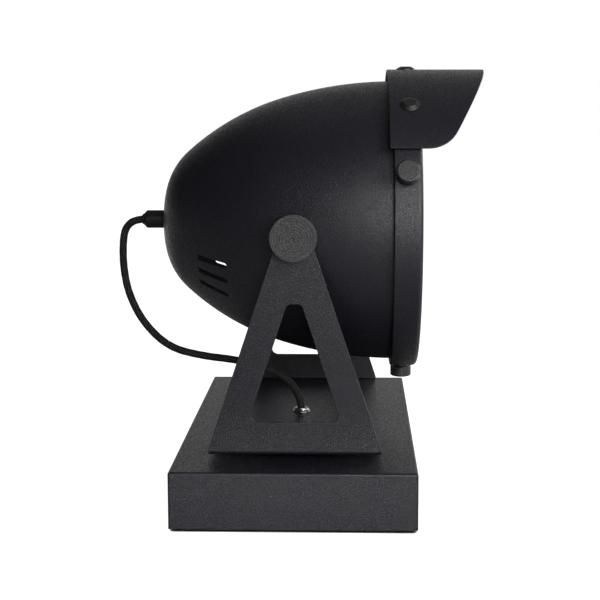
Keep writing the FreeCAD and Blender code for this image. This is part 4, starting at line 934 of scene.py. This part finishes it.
@dataclass
class Visor(SubAssembly):
    """Rolled hood over the ring's upper part, with three broad screws."""

    radius: float = 122.0
    sheet: float = 1.5
    back: float = 69.5
    front: float = 146.6
    low: float = 63.7
    rake: float = 30.7
    corner: float = 25.0
    screw_x: float = 84.8
    screw_clocks: tuple[float, ...] = (-39.0, 0.0, 39.0)
    screw_rim: float = 7.7
    rim_height: float = 0.35
    screw_flat: float = 4.4
    screw_height: float = 2.3
    crown: float = 0.12         # rise of the flat's middle over its edge
    saddle: float = 0.6         # how far the rim reaches down over the hood's curve
    screw_stud: float = 2.0
    stud_reach: float = 6.5
    hollow: float = 2.0         # how far the underside reaches down to the stud
    eased: float = 0.3
    corner_rows: int = 9
    arc_rows: int = 18
    columns: int = 6

    def front_at(self, height: float) -> float:
        """How far forward the hood reaches at a height above the beam axis."""
        lean = math.radians(self.rake)
        raked = self.front - (self.radius - height) * math.tan(lean)
        centre_height = self.low + self.corner
        if height >= centre_height - self.corner * math.sin(lean):
            return raked
        centre = self.front - (self.radius - centre_height) * math.tan(lean) - self.corner / math.cos(lean)
        return centre + math.sqrt(max(self.corner ** 2 - (centre_height - height) ** 2, 0))

    def clocks(self) -> list[float]:
        """The hood's rows, in radians from the top: close together round its corner."""
        lean = math.radians(self.rake)
        rows = []
        for step in range(self.corner_rows + 1):
            height = self.low + self.corner * (1 - math.cos((math.pi / 2 - lean) * step / self.corner_rows))
            rows.append(math.acos(height / self.radius))
        half = rows + [rows[-1] * (1 - step / self.arc_rows) for step in range(1, self.arc_rows)]
        return [-clock for clock in half] + [0.0] + half[::-1]

    def hood(self) -> Mesh:
        """Roll a flat grid to the hood's radius and trim it to its outline."""
        mesh = bmesh.new()
        rows = self.clocks()
        last = len(rows) - 1
        bmesh.ops.create_grid(mesh, x_segments=self.columns, y_segments=last, size=0.5)
        for vert in mesh.verts:
            clock = rows[round((vert.co.y + 0.5) * last)]
            height = self.radius * math.cos(clock)
            along = self.back + (vert.co.x + 0.5) * (self.front_at(height) - self.back)
            vert.co = (along, self.radius * math.sin(clock), TILT_Z + height)
        face_away(mesh, Vector((self.screw_x, 0, TILT_Z)))
        thicken(mesh, self.sheet)
        ease_edges(mesh, self.eased)
        return mesh

    def broad_screw(self) -> Mesh:
        """Turn a broad screw with a bevelled head, saddled down on to the hood."""
        stud_end, top = self.radius - self.stud_reach, self.radius + self.screw_height
        outline = Outline(0, stud_end).to(self.screw_stud, stud_end)
        outline.to(self.screw_stud, self.radius - self.hollow).to(self.screw_rim, self.radius - self.saddle)
        outline.to(self.screw_rim, self.radius + self.rim_height, 0.3)
        return outline.to(self.screw_flat, top, 0.9).to(0, top + self.crown).spin(steps=64)

    def build(self) -> None:
        """Make the hood and its screws."""
        self.add("rolled_visor", self.hood(), Slot.POWDER, Body.HEAD, "visor")
        for number, clock in enumerate(self.screw_clocks, 1):
            self.add(f"broad_screw_{number}", self.broad_screw(), Slot.SCREW, Body.HEAD, "visor_screws",
                     out_of_beam(self.screw_x, clock))


@dataclass
class TiltKnobs(SubAssembly):
    """Flat round clamp knobs and the washers behind them."""

    radius: float = 17.3
    thickness: float = 12.5
    washer: float = 12.0
    washer_sheet: float = 1.5
    play: float = 0.02          # air between a knob and its washer
    land: float = 2.2           # width of the plain rim round the face
    step: float = 0.12          # how far the face lies below it
    step_run: float = 0.2
    dish: float = 0.06          # how much further the face falls to its middle
    dimple: float = 1.2
    dimple_depth: float = 1.4

    def knob(self) -> Mesh:
        """Turn a knob with eased rims, a shallow step round its face and a dimple in its middle."""
        end, rim = self.thickness, self.radius - self.land
        face = end - self.step
        outline = Outline(0, self.play).to(self.radius, self.play, 0.6).to(self.radius, end, 0.7)
        outline.to(rim, end).to(rim - self.step_run, face).to(self.dimple, face - self.dish)
        return outline.to(0, end - self.dimple_depth).spin(steps=128)

    def build(self) -> None:
        """Make both knobs and their washers."""
        for side, body in ((1, Body.KNOB_LEFT), (-1, Body.KNOB_RIGHT)):
            node = "clamp_" + body.value
            self.add(f"turned_{node}", self.knob(), Slot.KNOB, body, node,
                     on_tilt_axis(side, CHEEK_Y + self.washer_sheet))
            outline = Outline(STUD_HOLE, 0).to(self.washer, 0, 0.2).to(self.washer, self.washer_sheet, 0.3)
            washer = outline.to(STUD_HOLE, self.washer_sheet).spin(steps=64)
            self.add(body.value.replace("knob", "washer"), washer, Slot.TURNED, Body.YOKE, "knob_washers",
                     on_tilt_axis(side, CHEEK_Y))


@dataclass
class Gland(SubAssembly):
    """Moulded strain relief on the head's rear face."""

    radius: float = 7.3
    length: float = 16.4        # up to the taper
    taper_end: float = 19.0
    taper_radius: float = 4.8
    nose: float = 4.2
    nose_start: float = 19.2
    tip: float = 20.4
    bore: float = 3.3

    def build(self) -> None:
        """Turn the gland, with a tapered shoulder and a short nose."""
        outline = Outline(self.bore, 0).to(self.radius, 0).to(self.radius, self.length, 0.8)
        outline.to(self.taper_radius, self.taper_end, 0.4).to(self.nose, self.nose_start)
        outline.to(self.nose, self.tip, 0.5).to(self.bore, self.tip, 0.3)
        self.add("cord_relief", outline.spin(steps=64), Slot.PLASTIC_BLACK, Body.HEAD, "cord_gland",
                 on_beam(REAR_X, -90))


# ---- the studio

@dataclass(frozen=True)
class Panel:
    """A soft rectangular light, turned to a point."""

    name: str
    place: Triple
    width: float
    height: float
    watts: float
    aim: Triple = (0, 0, 0.17)
    spread: float = 180.0       # degrees

    def hang(self) -> None:
        """Make the light, out of the camera's sight."""
        data = bpy.data.lights.new(self.name, "AREA")
        data.shape, data.size, data.size_y, data.energy = "RECTANGLE", self.width, self.height, self.watts
        data.spread = math.radians(self.spread)
        light = shown(self.name, data)
        light.location = self.place
        light.rotation_euler = (Vector(self.aim) - Vector(self.place)).to_track_quat("-Z", "Y").to_euler()
        light.visible_camera = False


@dataclass
class Studio:
    """White floor and room, soft lights and the camera."""

    camera_place: Triple = (0.043, -0.9329, 0.3147)
    pitch: float = 5.87
    yaw: float = 1.18
    lens: float = 68.69
    shift: Pair = (-0.05, -0.15)
    panels: tuple[Panel, ...] = (
        Panel("key", (0.34, -1.58, 0.62), 0.65, 0.75, 24.5),
        Panel("side", (1.0, -1.05, 0.75), 0.5, 0.7, 22.0),
        Panel("back", (1.3, 1.0, 0.8), 0.7, 0.7, 16.0),
        Panel("top", (0.0, 0.4, 1.5), 1.2, 1.2, 1.5),
        Panel("card", (0.05, -0.42, 0.02), 0.5, 0.035, 0.065, aim=(0.05, 0, 0.01), spread=30.0),
    )
    floor_reach: float = 6.0
    painted_shade_reach: float = 0.03       # how near the lamp the floor darkens with painted contact shade
    painted_shade_span: Pair = (0.2, 0.47)    # share of it under the lamp, and clear of it: where the painted shade is darkest, and where it ends
    painted_shade_floor_tones: Pair = (0.01, 0.25)    # floor colour in the same two places, painted shade and plain
    shade: float = 0.1          # painted shade: what gloss shows of the floor round the lamp
    shade_fades: Pair = (0.3, 0.7)  # from where to where it whitens, to the left
    shade_ahead: float = 0.2    # how much sooner it whitens ahead of the lamp
    ambient: float = 0.22       # how bright the room is to what isn't glossy
    dusk: float = 0.03          # what gloss shows of the room on the key light's side
    left_wall: Pair = (0.62, 1.13)  # directions between which the room whitens
    front_wall: Pair = (0.2, 1.0)
    front_glow: float = 0.6

    def add_camera(self) -> None:
        """Put the camera in front of the lamp's right side."""
        data = bpy.data.cameras.new("camera")
        data.lens, data.sensor_width = self.lens, 36.0
        data.shift_x, data.shift_y = self.shift
        camera = shown("camera", data)
        camera.location = self.camera_place
        camera.rotation_euler = (math.radians(90 - self.pitch), 0, math.radians(self.yaw))
        bpy.context.scene.camera = camera

    def rays(self, graph: Graph) -> tuple[Socket, Socket]:
        """Whether a ray is the camera's own, and whether it comes by way of gloss or glass."""
        path = graph.add("LightPath").node.outputs
        by_way = graph.combine("MAXIMUM", path["Is Glossy Ray"], path["Is Transmission Ray"])
        return path["Is Camera Ray"], by_way

    def add_floor(self) -> None:
        """Lay a wide floor that looks white and keeps the lamp's shadow, with painted contact shade near the
        lamp.
        """
        mesh = bmesh.new()
        bmesh.ops.create_grid(mesh, x_segments=1, y_segments=1, size=self.floor_reach)
        floor = finished("floor", mesh)
        graph = Graph(bpy.data.materials.new("floor"))
        # occlusion near the lamp darkens the floor's colour and glow: painted contact shade
        painted_contact_shade = graph.add("AmbientOcclusion", {"Distance": self.painted_shade_reach}).node.outputs["AO"]
        graph.surface(Base_Color=graph.span(painted_contact_shade, *self.painted_shade_floor_tones, *self.painted_shade_span), Roughness=0.9,
                      Specular_IOR_Level=0.1)
        camera, by_way = self.rays(graph)
        place = graph.add("SeparateXYZ", {"Vector": graph.add("NewGeometry")}).node.outputs
        ahead = graph.combine("ADD", place["X"], self.shade_ahead)
        clear = graph.span(graph.combine("MAXIMUM", place["Y"], ahead), self.shade, 1.0, *self.shade_fades)
        mirrored = graph.combine("MULTIPLY", by_way, clear)
        seen = graph.combine("MULTIPLY", graph.combine("MAXIMUM", camera, mirrored),
                             graph.span(painted_contact_shade, 0.0, 1.0, *self.painted_shade_span))
        glow = graph.add("Emission", {"Color": WHITE, "Strength": seen})
        both = graph.add("AddShader", {0: graph.shader.outputs[0], 1: glow})
        graph.feed(graph.output.inputs["Surface"], both)
        floor.data.materials.append(graph.owner)

    def add_world(self) -> None:
        """Surround the lamp: white to the camera, and to gloss dusky on the key light's side."""
        graph = Graph(bpy.data.worlds.new("studio"))
        bpy.context.scene.world = graph.owner
        camera, by_way = self.rays(graph)
        at = graph.add("TexCoord").node.outputs["Generated"]
        heading = graph.add("SeparateXYZ", {"Vector": at}).node.outputs
        left = graph.span(heading["Y"], self.dusk, 1.0, *self.left_wall, smooth=True)
        front = graph.span(heading["X"], 0.0, self.front_glow, *self.front_wall, smooth=True)
        unseen = graph.span(by_way, self.ambient, graph.combine("MAXIMUM", left, front), 0.0, 1.0)
        graph.surface(Color=WHITE, Strength=graph.span(camera, unseen, 1.0, 0.0, 1.0))

    def build(self) -> None:
        """Set up the whole studio."""
        self.add_camera()
        for panel in self.panels:
            panel.hang()
        self.add_floor()
        self.add_world()
        bpy.context.scene.view_settings.view_transform = "Standard"


def main() -> None:
    """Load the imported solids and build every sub-assembly round them."""
    logging.basicConfig(level=logging.INFO, format="%(message)s")
    for leftover in list(bpy.data.objects):
        bpy.data.objects.remove(leftover)
    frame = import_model()
    palette = Palette()
    palette.dress(frame["nodes"])
    for assembly in (Cord, FoldedBase, PanPivot, Yoke, Head, FrontRing, Visor, TiltKnobs, Gland):
        log.info("-- %s", assembly.__name__)
        assembly(palette).build()
    Studio().build()


if __name__ == "__main__":
    main()
